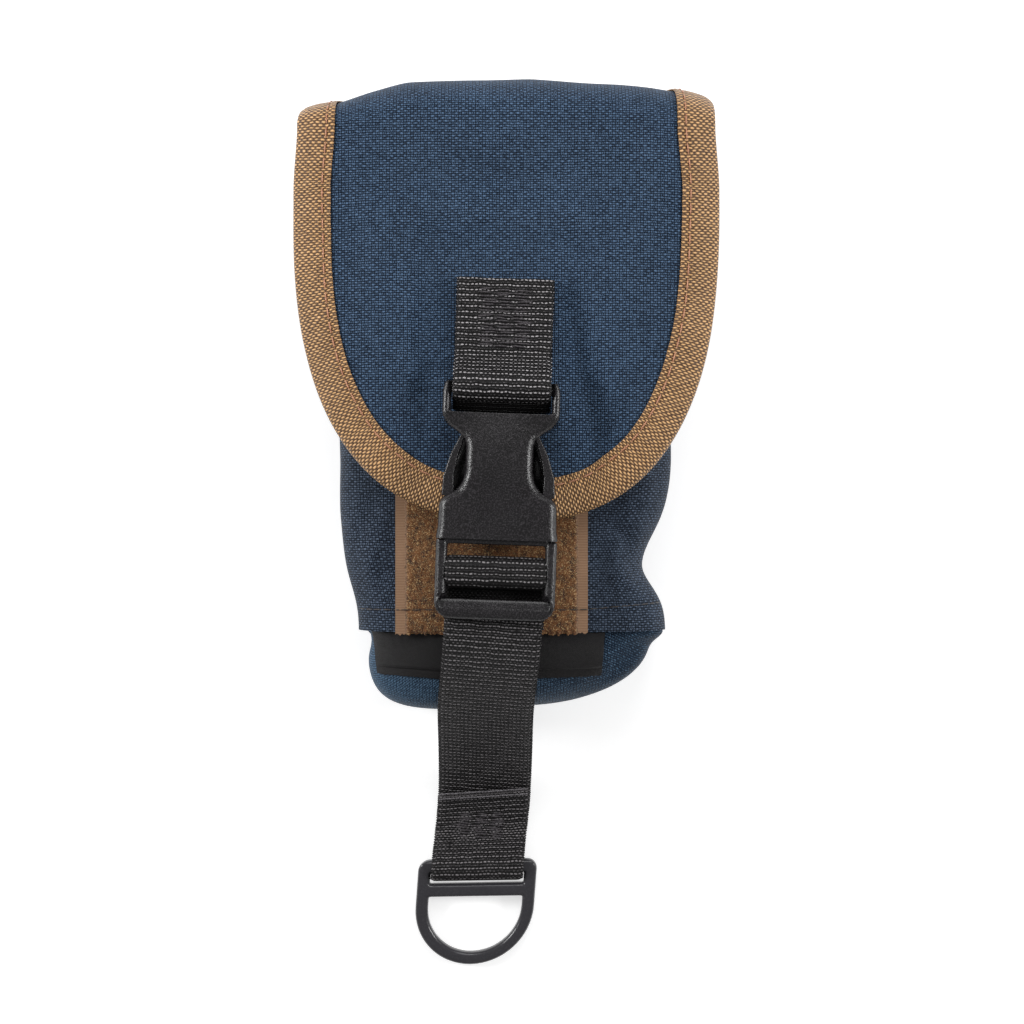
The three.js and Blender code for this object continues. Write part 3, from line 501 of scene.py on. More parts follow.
# Running length along each row from its middle, and along each column, for a grid's UV map
def gridLengths(grid):
    rows, columns = grid.shape[:2]
    u = np.linalg.norm(np.diff(grid, axis=1), axis=2)
    v = np.linalg.norm(np.diff(grid, axis=0), axis=2)
    u = np.concatenate([np.zeros((rows, 1)), np.cumsum(u, axis=1)], axis=1)
    u -= u[:, columns // 2][:, None]
    v = np.concatenate([np.zeros((1, columns)), np.cumsum(v, axis=0)], axis=0)
    return pack(u, v)


def quadsOf(table):  # four corners of every cell in a table of point numbers
    return pack(table[:-1, :-1], table[:-1, 1:], table[1:, 1:], table[1:, :-1]).reshape(-1, 4)


# Closed sheet between two offsets from a grid of points, along the grid's normals
def addShell(name, grid, low, high, uv=None):
    rows, columns = grid.shape[:2]
    normal = unit(np.cross(np.gradient(grid, axis=1), np.gradient(grid, axis=0)))
    uv = gridLengths(grid) if uv is None else uv
    points = np.concatenate([(grid + normal * offset).reshape(-1, 3) for offset in (low, high)])
    count = rows * columns
    at = np.arange(count).reshape(rows, columns)
    upper = quadsOf(at) + count
    under = quadsOf(at)[:, (0, 3, 2, 1)]
    rim = np.concatenate([at[0, :], at[1:, -1], at[-1, -2::-1], at[-2:0:-1, 0]])
    after = np.roll(rim, -1)
    side = pack(rim, after, after + count, rim + count)
    faces = np.concatenate([under, upper, side])
    flat = uv.reshape(-1, 2)
    corners = np.concatenate([flat, flat])[faces]
    corners[-len(side):, 2:] += 0.7 * (high - low)  # the pattern goes on over the rim
    return addMesh(name, points, faces.tolist(), corners)


# Closed section carried along a path: rings is steps by section points, with its UV map one
# column wider so that the pattern closes too
def addTube(name, rings, uv, sharp=40.0):
    steps, count = rings.shape[:2]
    at = np.arange(steps * count).reshape(steps, count)
    wide = np.concatenate([at, at[:, :1]], axis=1)
    mark = np.arange(steps * (count + 1)).reshape(steps, count + 1)
    quads, marks = quadsOf(wide), quadsOf(mark)
    volume = signedVolume(rings.reshape(-1, 3), quads)
    if volume < 0:
        quads, marks = quads[:, ::-1], marks[:, ::-1]
    flat = uv.reshape(-1, 2)
    faces = quads.tolist()
    corners = [flat[marks].reshape(-1, 2)]
    for ring, flip in ((0, volume > 0), (steps - 1, volume < 0)):
        order = at[ring][::-1] if flip else at[ring]
        faces.append(order.tolist())
        corners.append(flat[mark[ring][:-1][::-1] if flip else mark[ring][:-1]])
    return addMesh(name, rings.reshape(-1, 3), faces, np.concatenate(corners), sharp)


def signedVolume(points, quads):  # six times the volume inside, below zero when inside out
    p, q, r, s = (points[quads[:, i]] for i in range(4))
    return (np.einsum("ij,ij->i", np.cross(p, q), r) + np.einsum("ij,ij->i", np.cross(p, r), s)).sum()


# What every piece gets: its material, the body that it follows or, given a bend, its place
# baked into its mesh, and the imported solids that it stands for, which it hides
def addPiece(piece, paint, nodes=(), body=None, bend=None):
    piece.data.materials.append(paint.material)
    if bend:
        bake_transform(piece)
    else:
        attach(piece, body)
    if nodes:
        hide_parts(*nodes)


# Pouch body
low, high = lowHigh("front_wrap")
wrap = {
    "half": high[0], "hem": low[1], "mouth": high[1], "foot": low[2], "top": high[2],
    "hemHalf": 40.3, "hemLean": 1.9, "taperTop": 8.0, "corner": 12.0, "thick": 1.4, "belly": 0.7,
    "sideShare": 0.115, "cornerShare": 0.139, "length": 127.6, "columns": 150, "rows": 150,
    "sides": (20.0, 40.0), "free": 7.0, "slack": 0.35, "slackRun": 21.0, "hemFall": 0.5, "hemSpan": 2.0,
    "looseMiddle": -3.8, "loose": (25.0, 32.0), "ripples": ((0.5, 34.0, 3), (0.25, 15.0, 4)),
    "creases": (
        ((41, -7), (27, 3), 2.6, -1.5), ((43, -15), (27, -8), 3.4, 1.3), ((40, 12), (29, 24), 4.0, 0.7),
        ((-41, -2), (-31, 12), 3.0, -0.8), ((-40, -12), (-31, -2), 3.6, 0.8),
    ),
}
pinch = {"y": -7.4, "above": 13.0, "below": 8.8, "depth": 7.0, "base": 0.5, "atFoot": 0.85}
dent = {"y": -11.0, "span": 9.0, "depth": 0.7}


def taperAt(y):  # 0 above the taper, 1 at the hem, a half cosine between
    return ease(0, 1, (wrap["taperTop"] - y) / (wrap["taperTop"] - wrap["hem"]))


def wallX(side, y):  # a side wall: half the width, narrower by the taper, and leaning
    t = taperAt(y)
    return side * between(wrap["half"], wrap["hemHalf"], t) + wrap["hemLean"] * t


def pinchAt(y):  # how far the right side is drawn in, more softly above than below
    return pinch["depth"] * hill(y, pinch["y"], np.where(y > pinch["y"], pinch["above"], pinch["below"]))


# The front's own unevenness: flat under the pile strip, loose at both sides
def frontRelief(x, y):
    loose = rise(*wrap["loose"], np.abs(x - wrap["looseMiddle"]))
    return (ripples(x, y, wrap["ripples"]) + creases(x, y, wrap["creases"])) * loose


# U of the front and both sides: straight wall, quarter circle, front, and the same again,
# then pushed in at the pinch on the right and at the dent on the left
def hoop(share, y):
    radius = wrap["corner"] - wrap["thick"] / 2
    left = wallX(-1, y) + wrap["thick"] / 2
    right = wallX(1, y) - wrap["thick"] / 2
    top = wrap["top"] - wrap["thick"] / 2
    fromLeft = share <= 0.5
    s = np.where(fromLeft, share, 1 - share)
    wall = np.where(fromLeft, left, right)
    inward = np.where(fromLeft, 1.0, -1.0)
    angle = np.clip((s - wrap["sideShare"]) / wrap["cornerShare"], 0, 1) * np.pi / 2
    start = wrap["sideShare"] + wrap["cornerShare"]
    flat = np.clip((s - start) / (0.5 - start), 0, 1)
    x = wall + inward * radius * (1 - np.cos(angle))
    x = between(x, (left + right) / 2, flat)
    climb = np.clip(s / wrap["sideShare"], 0, 1)
    z = between(wrap["foot"], top - radius, climb) + radius * np.sin(angle)
    up = rise(wrap["foot"], wrap["foot"] + wrap["free"], z)
    rightSide, leftSide = rise(*wrap["sides"], x), rise(*wrap["sides"], -x)
    belly = wrap["belly"] * np.sin(np.pi * np.clip((z - wrap["foot"]) / (top - wrap["foot"]), 0, 1))
    x = x + belly * (rightSide - leftSide)
    x = x - (pinchAt(y) + pinch["base"]) * rightSide * between(pinch["atFoot"], 1, up)
    x = x - dent["depth"] * hill(y, dent["y"], dent["span"]) * leftSide * up
    x = x + wrap["slack"] * ripple(y, z * 1.6, wrap["slackRun"], 8) * (rightSide + leftSide) * up
    z = z + frontRelief(x, y) * rise(top - radius * 0.4, top - 0.3, z)
    z = z - wrap["hemFall"] * hill(y, wrap["hem"], wrap["hemSpan"]) * rise(0.0, 1.0, flat)
    return pack(x, y, z)


def spread(columns, rows, left=0, right=1, foot=0, top=1):  # an even grid of two numbers
    return np.meshgrid(np.linspace(left, right, columns), np.linspace(foot, top, rows))


share, y = spread(wrap["columns"], wrap["rows"], 0, 1, wrap["hem"], wrap["mouth"])
uv = pack((share - 0.5) * wrap["length"], y)
frontCloth = addShell("frontCloth", hoop(share, y), -wrap["thick"] / 2, wrap["thick"] / 2, uv)
# the front wears the darker navy: painted shade under the flap
addPiece(frontCloth, shadedNavyPaint, ["front_wrap"], "pouch")

# Rounded lower end: a superellipse across by one along, squarer at its left
low, high = lowHigh("bottom_panel")
end = {
    "middle": 0.6, "half": 37.8, "reach": 21.4, "height": high[2] - low[2], "tuck": 3.0, "thick": 1.4,
    "hoopPower": 5.0, "leftPower": 4.2, "rightPower": 2.2, "columns": 130, "rows": 70,
    "crease": ((38, -27), (20, -42), 3.0, -1.1), "relief": 0.9, "reliefRun": 26.0,
    "rightSwells": ((3.4, -25.5, 2.5), (0.4, -31.0, 5.0)), "rightFrom": (15.0, 36.0),
    "leftSwell": (-28.0, 3.5), "leftFrom": (15.0, 34.0), "tipLean": 0.036, "leanFrom": (32.0, 46.0),
}


def polarShare(angle, power):  # how far a superellipse of that power reaches at an angle
    return (np.abs(np.cos(angle)) ** power + np.abs(np.sin(angle)) ** power) ** (-1 / power)


# Point of the rounded end: across and up from a superellipse round the hoop, times the tilt's
# cosine, and along from its sine, both at the reach of a second superellipse
def endPlace(around, tilt):
    hoopReach = polarShare(around, end["hoopPower"])
    across, up = np.cos(around) * hoopReach, np.sin(around) * hoopReach
    reach = polarShare(tilt, between(end["leftPower"], end["rightPower"], (1 + np.cos(around)) / 2))
    along, wide = np.sin(tilt) * reach, np.cos(tilt) * reach
    x = end["middle"] + end["half"] * across * wide
    yy = wrap["hem"] + end["reach"] * along
    z = wrap["foot"] + end["height"] * up * wide
    x = x + sum(high * hill(yy, *place) for high, *place in end["rightSwells"]) * rise(*end["rightFrom"], x)
    x = x + hill(yy, *end["leftSwell"]) * rise(*end["leftFrom"], -x)
    yy = yy + end["tipLean"] * (x - 1.0) * rise(*end["leanFrom"], -yy)
    relief = end["relief"] * ripple(x, yy, end["reliefRun"], 12) + crease(x, yy, *end["crease"])
    z = z + relief * rise(12.0, 22.0, z) * rise(0.0, 0.35, wide) * (1 - rise(-28.0, -24.0, yy))
    return pack(x, yy, z)


tuckTilt = math.asin(end["tuck"] / end["reach"])
endSkin = endPlace(*spread(end["columns"], end["rows"], np.pi, 0, -np.pi / 2 + 0.02, tuckTilt))
endCloth = addShell("endCloth", endSkin, -end["thick"], 0.0)
# the rounded end wears the brighter navy: painted light
addPiece(endCloth, litNavyPaint, ["bottom_panel"], "pouch")
print("pouch body made")


# Back panel: flat sheet with the same outline, drawn in round the lower end
low, high = lowHigh("back_panel")
back = {
    "thick": high[2] - low[2], "middle": (low[2] + high[2]) / 2, "top": high[1],
    "inset": 1.2, "pinched": 1.05, "columns": 90, "rows": 111, "endRows": 40,
}


# Edge of the back: the wall down to the hem, then the wall times the width that a superellipse
# leaves at that depth
def backEdge(side, y):
    below = np.clip((wrap["hem"] - y) / end["reach"], 0, 1)
    power = end["leftPower"] if side < 0 else end["rightPower"]
    narrow = (1 - below ** power) ** (1 / power)
    middle = end["middle"] * taperAt(y)
    wall = wallX(side, np.maximum(y, wrap["hem"]))
    wall = between(wall, end["middle"] + side * (end["half"] - back["inset"]), rise(0.0, 0.18, below))
    x = between(middle, wall, narrow)
    if side > 0:
        x = x - back["pinched"] * pinchAt(y) - 0.9 * hill(y, -32.0, 6.0)
    return x


foot = wrap["hem"] - end["reach"] + 0.02
endRows = foot + (wrap["hem"] - foot) * (1 - np.cos(np.linspace(0, np.pi / 2, back["endRows"])))
straightRows = np.linspace(wrap["hem"], back["top"], back["rows"])
share, y = np.meshgrid(np.linspace(0, 1, back["columns"]), np.concatenate([endRows[:-1], straightRows]))
x = between(backEdge(-1, y), backEdge(1, y), share)
sag = 0.12 * ripple(x, y, 40.0, 21) * np.sin(np.pi * share)
grid = pack(x, y, back["middle"] + sag)
backCloth = addShell("backCloth", grid, -back["thick"] / 2, back["thick"] / 2, pack(x, y))
addPiece(backCloth, navyPaint, ["back_panel"], "pouch")

# Loop half of the touch fastener, which follows the front's unevenness, with a frayed foot
low, high = lowHigh("loop_patch")
hemStitch = {
    "y": -19.2, "half": 43.0, "sink": 0.36, "rise": 1.6, "riseFrom": (16.0, 42.0), "pileHalf": 25.2,
    "overPile": 1.65, "overCloth": 0.72, "pitch": 2.9, "share": 0.93, "radius": 0.15, "sag": 0.05,
}
patch = {
    "left": low[0], "right": high[0], "middle": (low[0] + high[0]) / 2, "foot": low[1], "top": high[1],
    "low": low[2], "over": 0.6, "fray": 0.7, "frayed": ((0.5, 3.1, 31), (0.7, 0.9, 34)), "frayPower": 12,
    "pile": 0.75, "pileEdge": (21.6, 22.4), "tufts": ((0.16, 1.7, 32), (0.1, 0.9, 33)), "pileFrom": 0.012,
    "clear": 0.05, "half": 0.15, "columns": 200, "rows": 330,
}
share, along = spread(patch["columns"], patch["rows"])
x = between(patch["left"], patch["right"], share)
fray = patch["fray"] * ripples(x, x * 0, patch["frayed"]) * (1 - along) ** patch["frayPower"]
y = between(patch["foot"] - patch["over"], patch["top"], along) + fray
piled = 1 - rise(*patch["pileEdge"], np.abs(x - patch["middle"]))
sewn = hemStitch["sink"] * hill(y, hemStitch["y"], 0.5)
height = (patch["pile"] + ripples(x, y, patch["tufts"]) - sewn) * piled * rise(0.0, patch["pileFrom"], along)
grid = pack(x, y, patch["low"] + patch["clear"] + height)
pileStrip = addShell("pileStrip", grid, -patch["half"], patch["half"], pack(x - patch["middle"], y))
addPiece(pileStrip, pilePaint, ["loop_patch"], "pouch")

# Bare tab sewn in at the hem: it lies on the rounded end, a little lifted at its foot
low, high = lowHigh("label")
tabShape = {
    "left": low[0], "right": high[0], "top": high[1], "foot": low[1], "thick": 0.55, "leftOut": 2.6,
    "leftIn": 1.6, "rightOut": 0.5, "rightIn": 0.8, "raised": 0.9, "bow": 1.6, "wave": 0.25, "lift": 0.5,
    "curl": 0.5, "corner": 0.35, "hem": 0.55, "crease": 0.2, "columns": 90, "rows": 60,
}


def skinHeight(skin, x, y):  # a skin's height at a place: mean of its three nearest points
    flat = skin.reshape(-1, 3)
    away = np.hypot(flat[:, 0] - x.reshape(-1, 1), flat[:, 1] - y.reshape(-1, 1))
    nearest = np.argpartition(away, 3, axis=1)[:, :3]
    weight = 1 / (np.take_along_axis(away, nearest, axis=1) + 0.02)
    return ((flat[nearest, 2] * weight).sum(axis=1) / weight.sum(axis=1)).reshape(x.shape)


share, along = spread(tabShape["columns"], tabShape["rows"])
leftEdge = tabShape["left"] - tabShape["leftOut"] + tabShape["leftIn"] * (1 - along) ** 0.7
rightEdge = tabShape["right"] + tabShape["rightOut"] - tabShape["rightIn"] * (1 - along)
x = between(leftEdge, rightEdge, share)
foot = tabShape["foot"] + tabShape["raised"] - tabShape["bow"] * np.sin(np.pi * share) ** 0.8
foot = foot + tabShape["wave"] * np.sin(11.0 * share)
y = between(foot, tabShape["top"], along)
wavy = 0.6 + 0.5 * np.sin(9.0 * share + 0.4)
lift = tabShape["lift"] + tabShape["curl"] * (1 - along) ** 2 * wavy
lift = lift + tabShape["corner"] * rise(0.9, 1.0, share) * (1 - along)
lift = lift - tabShape["hem"] * (1 - rise(0.17, 0.21, along)) - tabShape["crease"] * hill(along, 0.2, 0.02)
endTop = endSkin[endSkin[:, :, 2].mean(axis=1) > wrap["foot"] + 8.0]
grid = pack(x, y, skinHeight(endTop, x, y) + lift)
bareTab = addShell("bareTab", grid, -tabShape["thick"] / 2, tabShape["thick"] / 2)
addPiece(bareTab, tabPaint, ["label"], "pouch")

# Tapes over the inner seams
seamTape = {"gap": 1.8, "width": 8.0, "half": 0.35, "pinched": 0.95, "columns": 14, "rows": 120}
for side, name, node in ((-1, "seamTapeLeft", "seam_tape_left"), (1, "seamTapeRight", "seam_tape_right")):
    low, high = lowHigh(node)
    across, y = spread(seamTape["columns"], seamTape["rows"], 0, 1, low[1], high[1])
    wall = wallX(side, y) - side * seamTape["gap"]
    if side > 0:
        wall = wall - seamTape["pinched"] * pinchAt(y)
    x = wall - side * seamTape["width"] * across
    grid = pack(x, y, (low[2] + high[2]) / 2 + 0.1 * ripple(x, y, 12.0, 40 + side))
    piece = addShell(name, grid if side < 0 else grid[:, ::-1], -seamTape["half"], seamTape["half"])
    addPiece(piece, brownPaint, [node], "pouch")


# Section of a tape folded over an edge: a is the height over the cloth's middle, b how far in
# from the fold. The outside is a little padded, dips at its stitches and thins out at its rim
def tapeSection(inner, outer, width, stitchAt, legs=22):
    b = np.linspace(width, outer, legs)
    padding = 0.22 * np.sin(np.pi * np.clip(b / stitchAt, 0, 1)) - 0.28 * hill(b, stitchAt, 0.55)
    a = outer + padding - 0.3 * rise(width - 0.9, width, b)
    turn = np.linspace(np.pi / 2, -np.pi / 2, 16)
    fold = pack(outer * np.sin(turn), outer * (1 - np.cos(turn)))
    inside = np.linspace(width, 0.75, 6)
    return np.concatenate([
        pack(a, b)[:-1], fold, pack(-a, b)[::-1][1:], pack(-inner, inside), pack(inner, inside)[::-1],
    ])


def sectionLengths(section):  # running length round a closed section, back to its start
    closed = np.concatenate([section, section[:1]])
    return np.concatenate([[0], np.cumsum(np.hypot(*np.diff(closed, axis=0).T))])


def pathLengths(points):  # running length along a path
    return np.concatenate([[0], np.cumsum(np.linalg.norm(np.diff(points, axis=0), axis=1))])


# Tape round the front's mouth
low, high = lowHigh("mouth_binding")
section = tapeSection(1.0, 1.5, 8.0, 6.4)
shares = np.linspace(0, 1, 260)
mouthLine = hoop(shares, np.full_like(shares, wrap["mouth"]))
tangent = unit(np.gradient(mouthLine, axis=0))
outward = pack(-tangent[:, 2], np.zeros(len(shares)), tangent[:, 0])
rings = mouthLine[:, None, :] + outward[:, None, :] * section[None, :, :1]
rings[:, :, 1] = high[1] - section[None, :, 1]
uv = pack(sectionLengths(section)[None], pathLengths(mouthLine)[:, None])
mouthTape = addTube("mouthTape", rings, uv)
addPiece(mouthTape, brownPaint, ["mouth_binding"], "pouch")
print("tapes and patch made")

# Flap
flapHinge = np.array(joints["flap_fold"]["pos_m"]) / mm
flap = {
    "half": 55.5, "foldY": flapHinge[1], "roundStart": 85.8, "roundLength": 82.0, "roundShare": 0.8,
    "leftPower": 2.58, "rightPower": 2.44, "tipX": 1.8, "drawn": 1.1, "drawnFrom": 90.0,
    "flatHalf": 26.0, "droop": 9.0, "droopPower": 2.2, "middle": 39.15,
    "sandwich": 1.9, "cloth": 1.0, "lining": 0.6, "inset": 0.9,
    "tape": 10.5, "inner": 1.25, "outer": 1.85, "stitchAt": 8.6,
    "columns": 150, "rows": 150, "topRows": 60, "firstTopRows": 30, "firstShare": 0.05,
    "bulge": (
        (-55.0, 2.4), (-53.3, 3.9), (-50.1, 4.9), (-44.5, 5.9), (-36.3, 8.6), (-29.6, 10.5), (-26.0, 11.4),
        (-10.0, 12.0), (6.0, 12.3), (28.5, 10.9), (37.5, 10.1), (45.5, 9.1), (51.7, 7.5), (53.8, 6.5),
        (55.2, 4.2),
    ),
    "backHalf": 47.0, "backZ": 8.05, "topGap": 0.15, "ripples": ((0.9, 46.0, 51), (0.45, 19.0, 52)),
    "pucker": 0.16, "puckerRun": 5.0, "puckerStep": 0.36, "puckerFrom": (2.0, 7.0),
    "creases": (
        ((15, 60), (24, 16), 4.5, -2.0), ((-32, 78), (-25, 36), 8.0, 1.5), ((-22, 96), (24, 90), 6.0, -1.2),
        ((-36, 84), (32, 80), 5.0, 1.0), ((-17, 80), (-19, 30), 4.0, -1.8), ((13, 80), (15, 34), 4.0, -1.6),
    ),
}


# Height of the flap's middle: flat over the front, drooping past it by a power law, and a
# little uneven where nothing holds it down
def flapHeight(x, y):
    past = np.clip(np.abs(x) - flap["flatHalf"], 0, None) / (flap["half"] - flap["flatHalf"])
    free = rise(13.5, 24.0, np.abs(x + 2.0)) + rise(70.0, 82.0, y)
    free = np.clip(free, 0, 1) * (1 - 0.7 * rise(96.0, 106.0, y))
    relief = ripples(x, y, flap["ripples"]) + creases(x, y, flap["creases"])
    return flap["middle"] - flap["droop"] * past ** flap["droopPower"] + relief * free


# Line through pairs of place and value, its corners rounded by a running mean
def softLine(x, pairs, span=1.4):
    places, values = zip(*pairs)
    return sum(np.interp(x + shift, places, values) for shift in np.linspace(-span, span, 9)) / 9


# Top of the flap: half an ellipse from the front's fold (share 0) down to the back seam (1)
def topPlace(x, share):
    front = flapHeight(x, np.full_like(x, flap["foldY"]))
    angle = np.pi * (0.5 - share)
    uneven = 0.25 * ripple(x, share * 20, 24.0, 53) * np.sin(np.pi * share)
    bulge = softLine(x, flap["bulge"]) + uneven
    yy = flap["foldY"] + flap["topGap"] + bulge * np.cos(angle)
    return pack(x, yy, (front + flap["backZ"]) / 2 + (front - flap["backZ"]) / 2 * np.sin(angle))


def topHalf(share):  # half the width over the top: the front's, then eased to the back's
    return ease(flap["half"] - flap["drawn"], flap["backHalf"], (share - 0.3) / 0.7)


# Flap's edge in plan: a quarter superellipse in an angle's sine and cosine, then straight up to
# the fold and drawn in a little there
def flapEdge(side, share, inset):
    angle = np.clip(share / flap["roundShare"], 0, 1) * np.pi / 2
    lean = flap["tipX"] * np.cos(angle) ** 2
    power = 2 / flap["leftPower" if side < 0 else "rightPower"]
    x = lean + side * (flap["half"] - inset) * np.sin(angle) ** power
    y = flap["roundStart"] - (flap["roundLength"] - inset) * np.clip(np.cos(angle), 0, 1) ** power
    straight = np.clip((share - flap["roundShare"]) / (1 - flap["roundShare"]), 0, 1)
    y = y + (flap["foldY"] + flap["topGap"] - flap["roundStart"]) * straight
    return x - side * flap["drawn"] * rise(flap["drawnFrom"], flap["foldY"], y), y


# Whole flap cloth as one grid: rows go up from the tip, over the fold and down the back
def flapGrid():
    across = np.linspace(0, 1, flap["columns"])[None]
    share = np.linspace(flap["firstShare"], 1, flap["rows"])[:, None]
    leftX, rowY = flapEdge(-1, share, flap["inset"])
    rightX, _ = flapEdge(1, share, flap["inset"])
    x = between(leftX, rightX, across)
    y = rowY + 0 * x
    share = np.linspace(0, 1, flap["topRows"] + 1)[1:, None]
    topX = (2 * across - 1) * (topHalf(share) - flap["inset"])
    return np.concatenate([pack(x, y, flapHeight(x, y)), topPlace(topX, share + 0 * topX)])


foldBend = ("flap_top", "flap", (0, 0.1165, 0.0320), (0, 0.1020, 0.0410))
seamBend = ("pouch", "flap_top", (0, 0.1070, 0.0080), (0, 0.1070, 0.0200))
half = flap["sandwich"] / 2
sheets = (
    ("flapCloth", half - flap["cloth"], half, "flap_panel", "flap_top_panel"),
    ("flapLining", -half, -half + flap["lining"], "flap_lining", "flap_top_lining"),
)
whole = flapGrid()
split = flap["rows"] + flap["firstTopRows"]
overTop = pathLengths(whole[flap["rows"] - 1:, flap["columns"] // 2])[1:]
uv = whole[:, :, :2].copy()
uv[flap["rows"]:, :, 1] = flap["foldY"] + flap["topGap"] + overTop[:, None]
for name, lowSide, highSide, frontNode, topNode in sheets:
    front = addShell(name, whole[:split], lowSide, highSide, uv[:split])
    addPiece(front, navyPaint, [frontNode], bend=foldBend)
    rest = addShell(name + "Top", whole[split - 1:], lowSide, highSide, uv[split - 1:])
    addPiece(rest, navyPaint, [topNode], bend=seamBend)


# Line round the flap's edge in plan, from the fold's left end round the tip to its right
share = np.linspace(1, 0, 420)
plan = np.concatenate([pack(*flapEdge(-1, share, 0)), pack(*flapEdge(1, share[::-1], 0))[1:]])
forward = unit(np.gradient(plan, axis=0))
inward = pack(-forward[:, 1], forward[:, 0])
section = tapeSection(flap["inner"], flap["outer"], flap["tape"], flap["stitchAt"])


def onFlap(x, y, lift):  # flap point moved along its normal
    step = 0.05
    slopeX = (flapHeight(x + step, y) - flapHeight(x - step, y)) / (2 * step)
    slopeY = (flapHeight(x, y + step) - flapHeight(x, y - step)) / (2 * step)
    return pack(x, y, flapHeight(x, y)) + unit(pack(-slopeX, -slopeY, 1.0)) * lift[..., None]


def onTop(x, share, lift):  # top point moved along the cross product of its slopes
    step = 1e-3
    alongX = topPlace(x + step, share) - topPlace(x - step, share)
    alongShare = topPlace(x, share + step) - topPlace(x, share - step)
    return topPlace(x, share) + unit(np.cross(alongX, alongShare)) * lift[..., None]


height, reach = section[None, :, 0], section[None, :, 1]
run = np.arange(len(plan)) * flap["puckerStep"]
pucker = flap["pucker"] * ripple(run, 0 * run, flap["puckerRun"], 61)[:, None]
pucker = pucker * rise(*flap["puckerFrom"], reach)
x = plan[:, None, 0] + inward[:, None, 0] * reach
y = plan[:, None, 1] + inward[:, None, 1] * reach
front = onFlap(x, y, height + np.sign(height) * pucker)


def topRings(side, shares):  # tape sections over the top, b measured in from its edge
    x = side * (topHalf(shares)[:, None] - section[None, :, 1])
    return onTop(x, shares[:, None] + 0 * x, section[None, :, 0] + 0 * x)


firstHalf = np.linspace(0.5, 0, 24)[:-1]


# Pattern lengths of a tape: across its section, and along each of its own lines where the
# lines part, as over the top. Between rows first and last it follows the outer edge alone
def tapeLengths(rings, first=0, last=0):
    steps = np.linalg.norm(np.diff(rings, axis=0), axis=2)
    own = np.concatenate([np.zeros((1, rings.shape[1])), np.cumsum(steps, axis=0)])
    own = np.concatenate([own, own[:, :1]], axis=1)
    outer = own[:, np.argmin(section[:, 1])][:, None]
    rows = np.arange(len(rings))[:, None]
    v = np.where(rows < first, outer[first] + own - own[first], outer + 0 * own)
    v = np.where(rows > last, outer[last] + own - own[last], v)
    return pack(sectionLengths(section)[None, :] + 0 * v, v)


rings = np.concatenate([topRings(-1, firstHalf), front, topRings(1, firstHalf[::-1])])
flapTape = addTube("flapTape", rings, tapeLengths(rings, len(firstHalf), len(firstHalf) + len(front) - 1))
addPiece(flapTape, brownPaint, ["flap_binding"], bend=foldBend)
for side, name, node in ((-1, "topTapeLeft", "top_binding_left"), (1, "topTapeRight", "top_binding_right")):
    rings = topRings(side, np.linspace(0.5, 1, 40))
    addPiece(addTube(name, rings, tapeLengths(rings)), brownPaint, [node], bend=seamBend)

# Hook half of the touch fastener, under the flap
low, high = lowHigh("hook_patch")
x, y = spread(60, 60, low[0], high[0], low[1], high[1])
hookStrip = addShell("hookStrip", onFlap(x, y, np.full_like(x, -flap["inner"] - 0.6)), -0.5, 0.5)
addPiece(hookStrip, hookPaint, ["hook_patch"], "flap")
print("flap made")

# Buckle frame: u across, v up the pouch, w over the buckle's middle. The tail's own frame is
# further down and turned a little more about the vertical
buckle = {"x": -2.4, "y": -0.8, "z": 45.9, "turn": -2.0, "tailAt": -18.6, "tailTurn": -2.2}
upward = np.array([0.0, 0.0, 1.0])


def makeFrame(origin, turn):  # axes turned about the vertical by an angle in degrees
    angle = math.radians(turn)
    sideways = np.array([math.cos(angle), math.sin(angle), 0.0])
    forward = np.array([-math.sin(angle), math.cos(angle), 0.0])
    return {"origin": np.array(origin), "u": sideways, "v": forward, "turn": angle}


def inFrame(frame, u, v, w):  # origin plus u, v and w along the frame's axes
    u, v, w = (part[..., None] for part in np.broadcast_arrays(u, v, w))
    return frame["origin"] + u * frame["u"] + v * frame["v"] + w * upward


buckleFrame = makeFrame((buckle["x"], buckle["y"], buckle["z"]), buckle["turn"])
tailFrame = makeFrame(inFrame(buckleFrame, 0, buckle["tailAt"], 0), buckle["turn"] + buckle["tailTurn"])
beltFrame = makeFrame((0, 0, 0), 0)


def arc(v, w, radius, start, stop, count=24):  # part of a circle, angles in degrees
    angle = np.radians(np.linspace(start, stop, count))
    return pack(v + radius * np.cos(angle), w + radius * np.sin(angle))


def easePath(v0, w0, v1, w1, count=30):  # v goes straight, w by a half cosine
    share = np.linspace(0, 1, count)
    return pack(between(v0, v1, share), ease(w0, w1, share))


def onLine(points, lengths, places):  # points of a line at distances along it
    return np.stack([np.interp(places, lengths, column) for column in points.T], axis=-1)


def evenly(points, step):  # the same path with points at equal distances
    lengths = pathLengths(points)
    return onLine(points, lengths, np.linspace(0, lengths[-1], max(int(lengths[-1] / step), 4)))


web = {
    "half": 12.5, "thick": 1.4, "scallop": 0.16, "step": 0.16, "pick": 0.71, "count": 44,
    "rim": 0.45, "rimPower": 40, "roundness": 0.25,
}


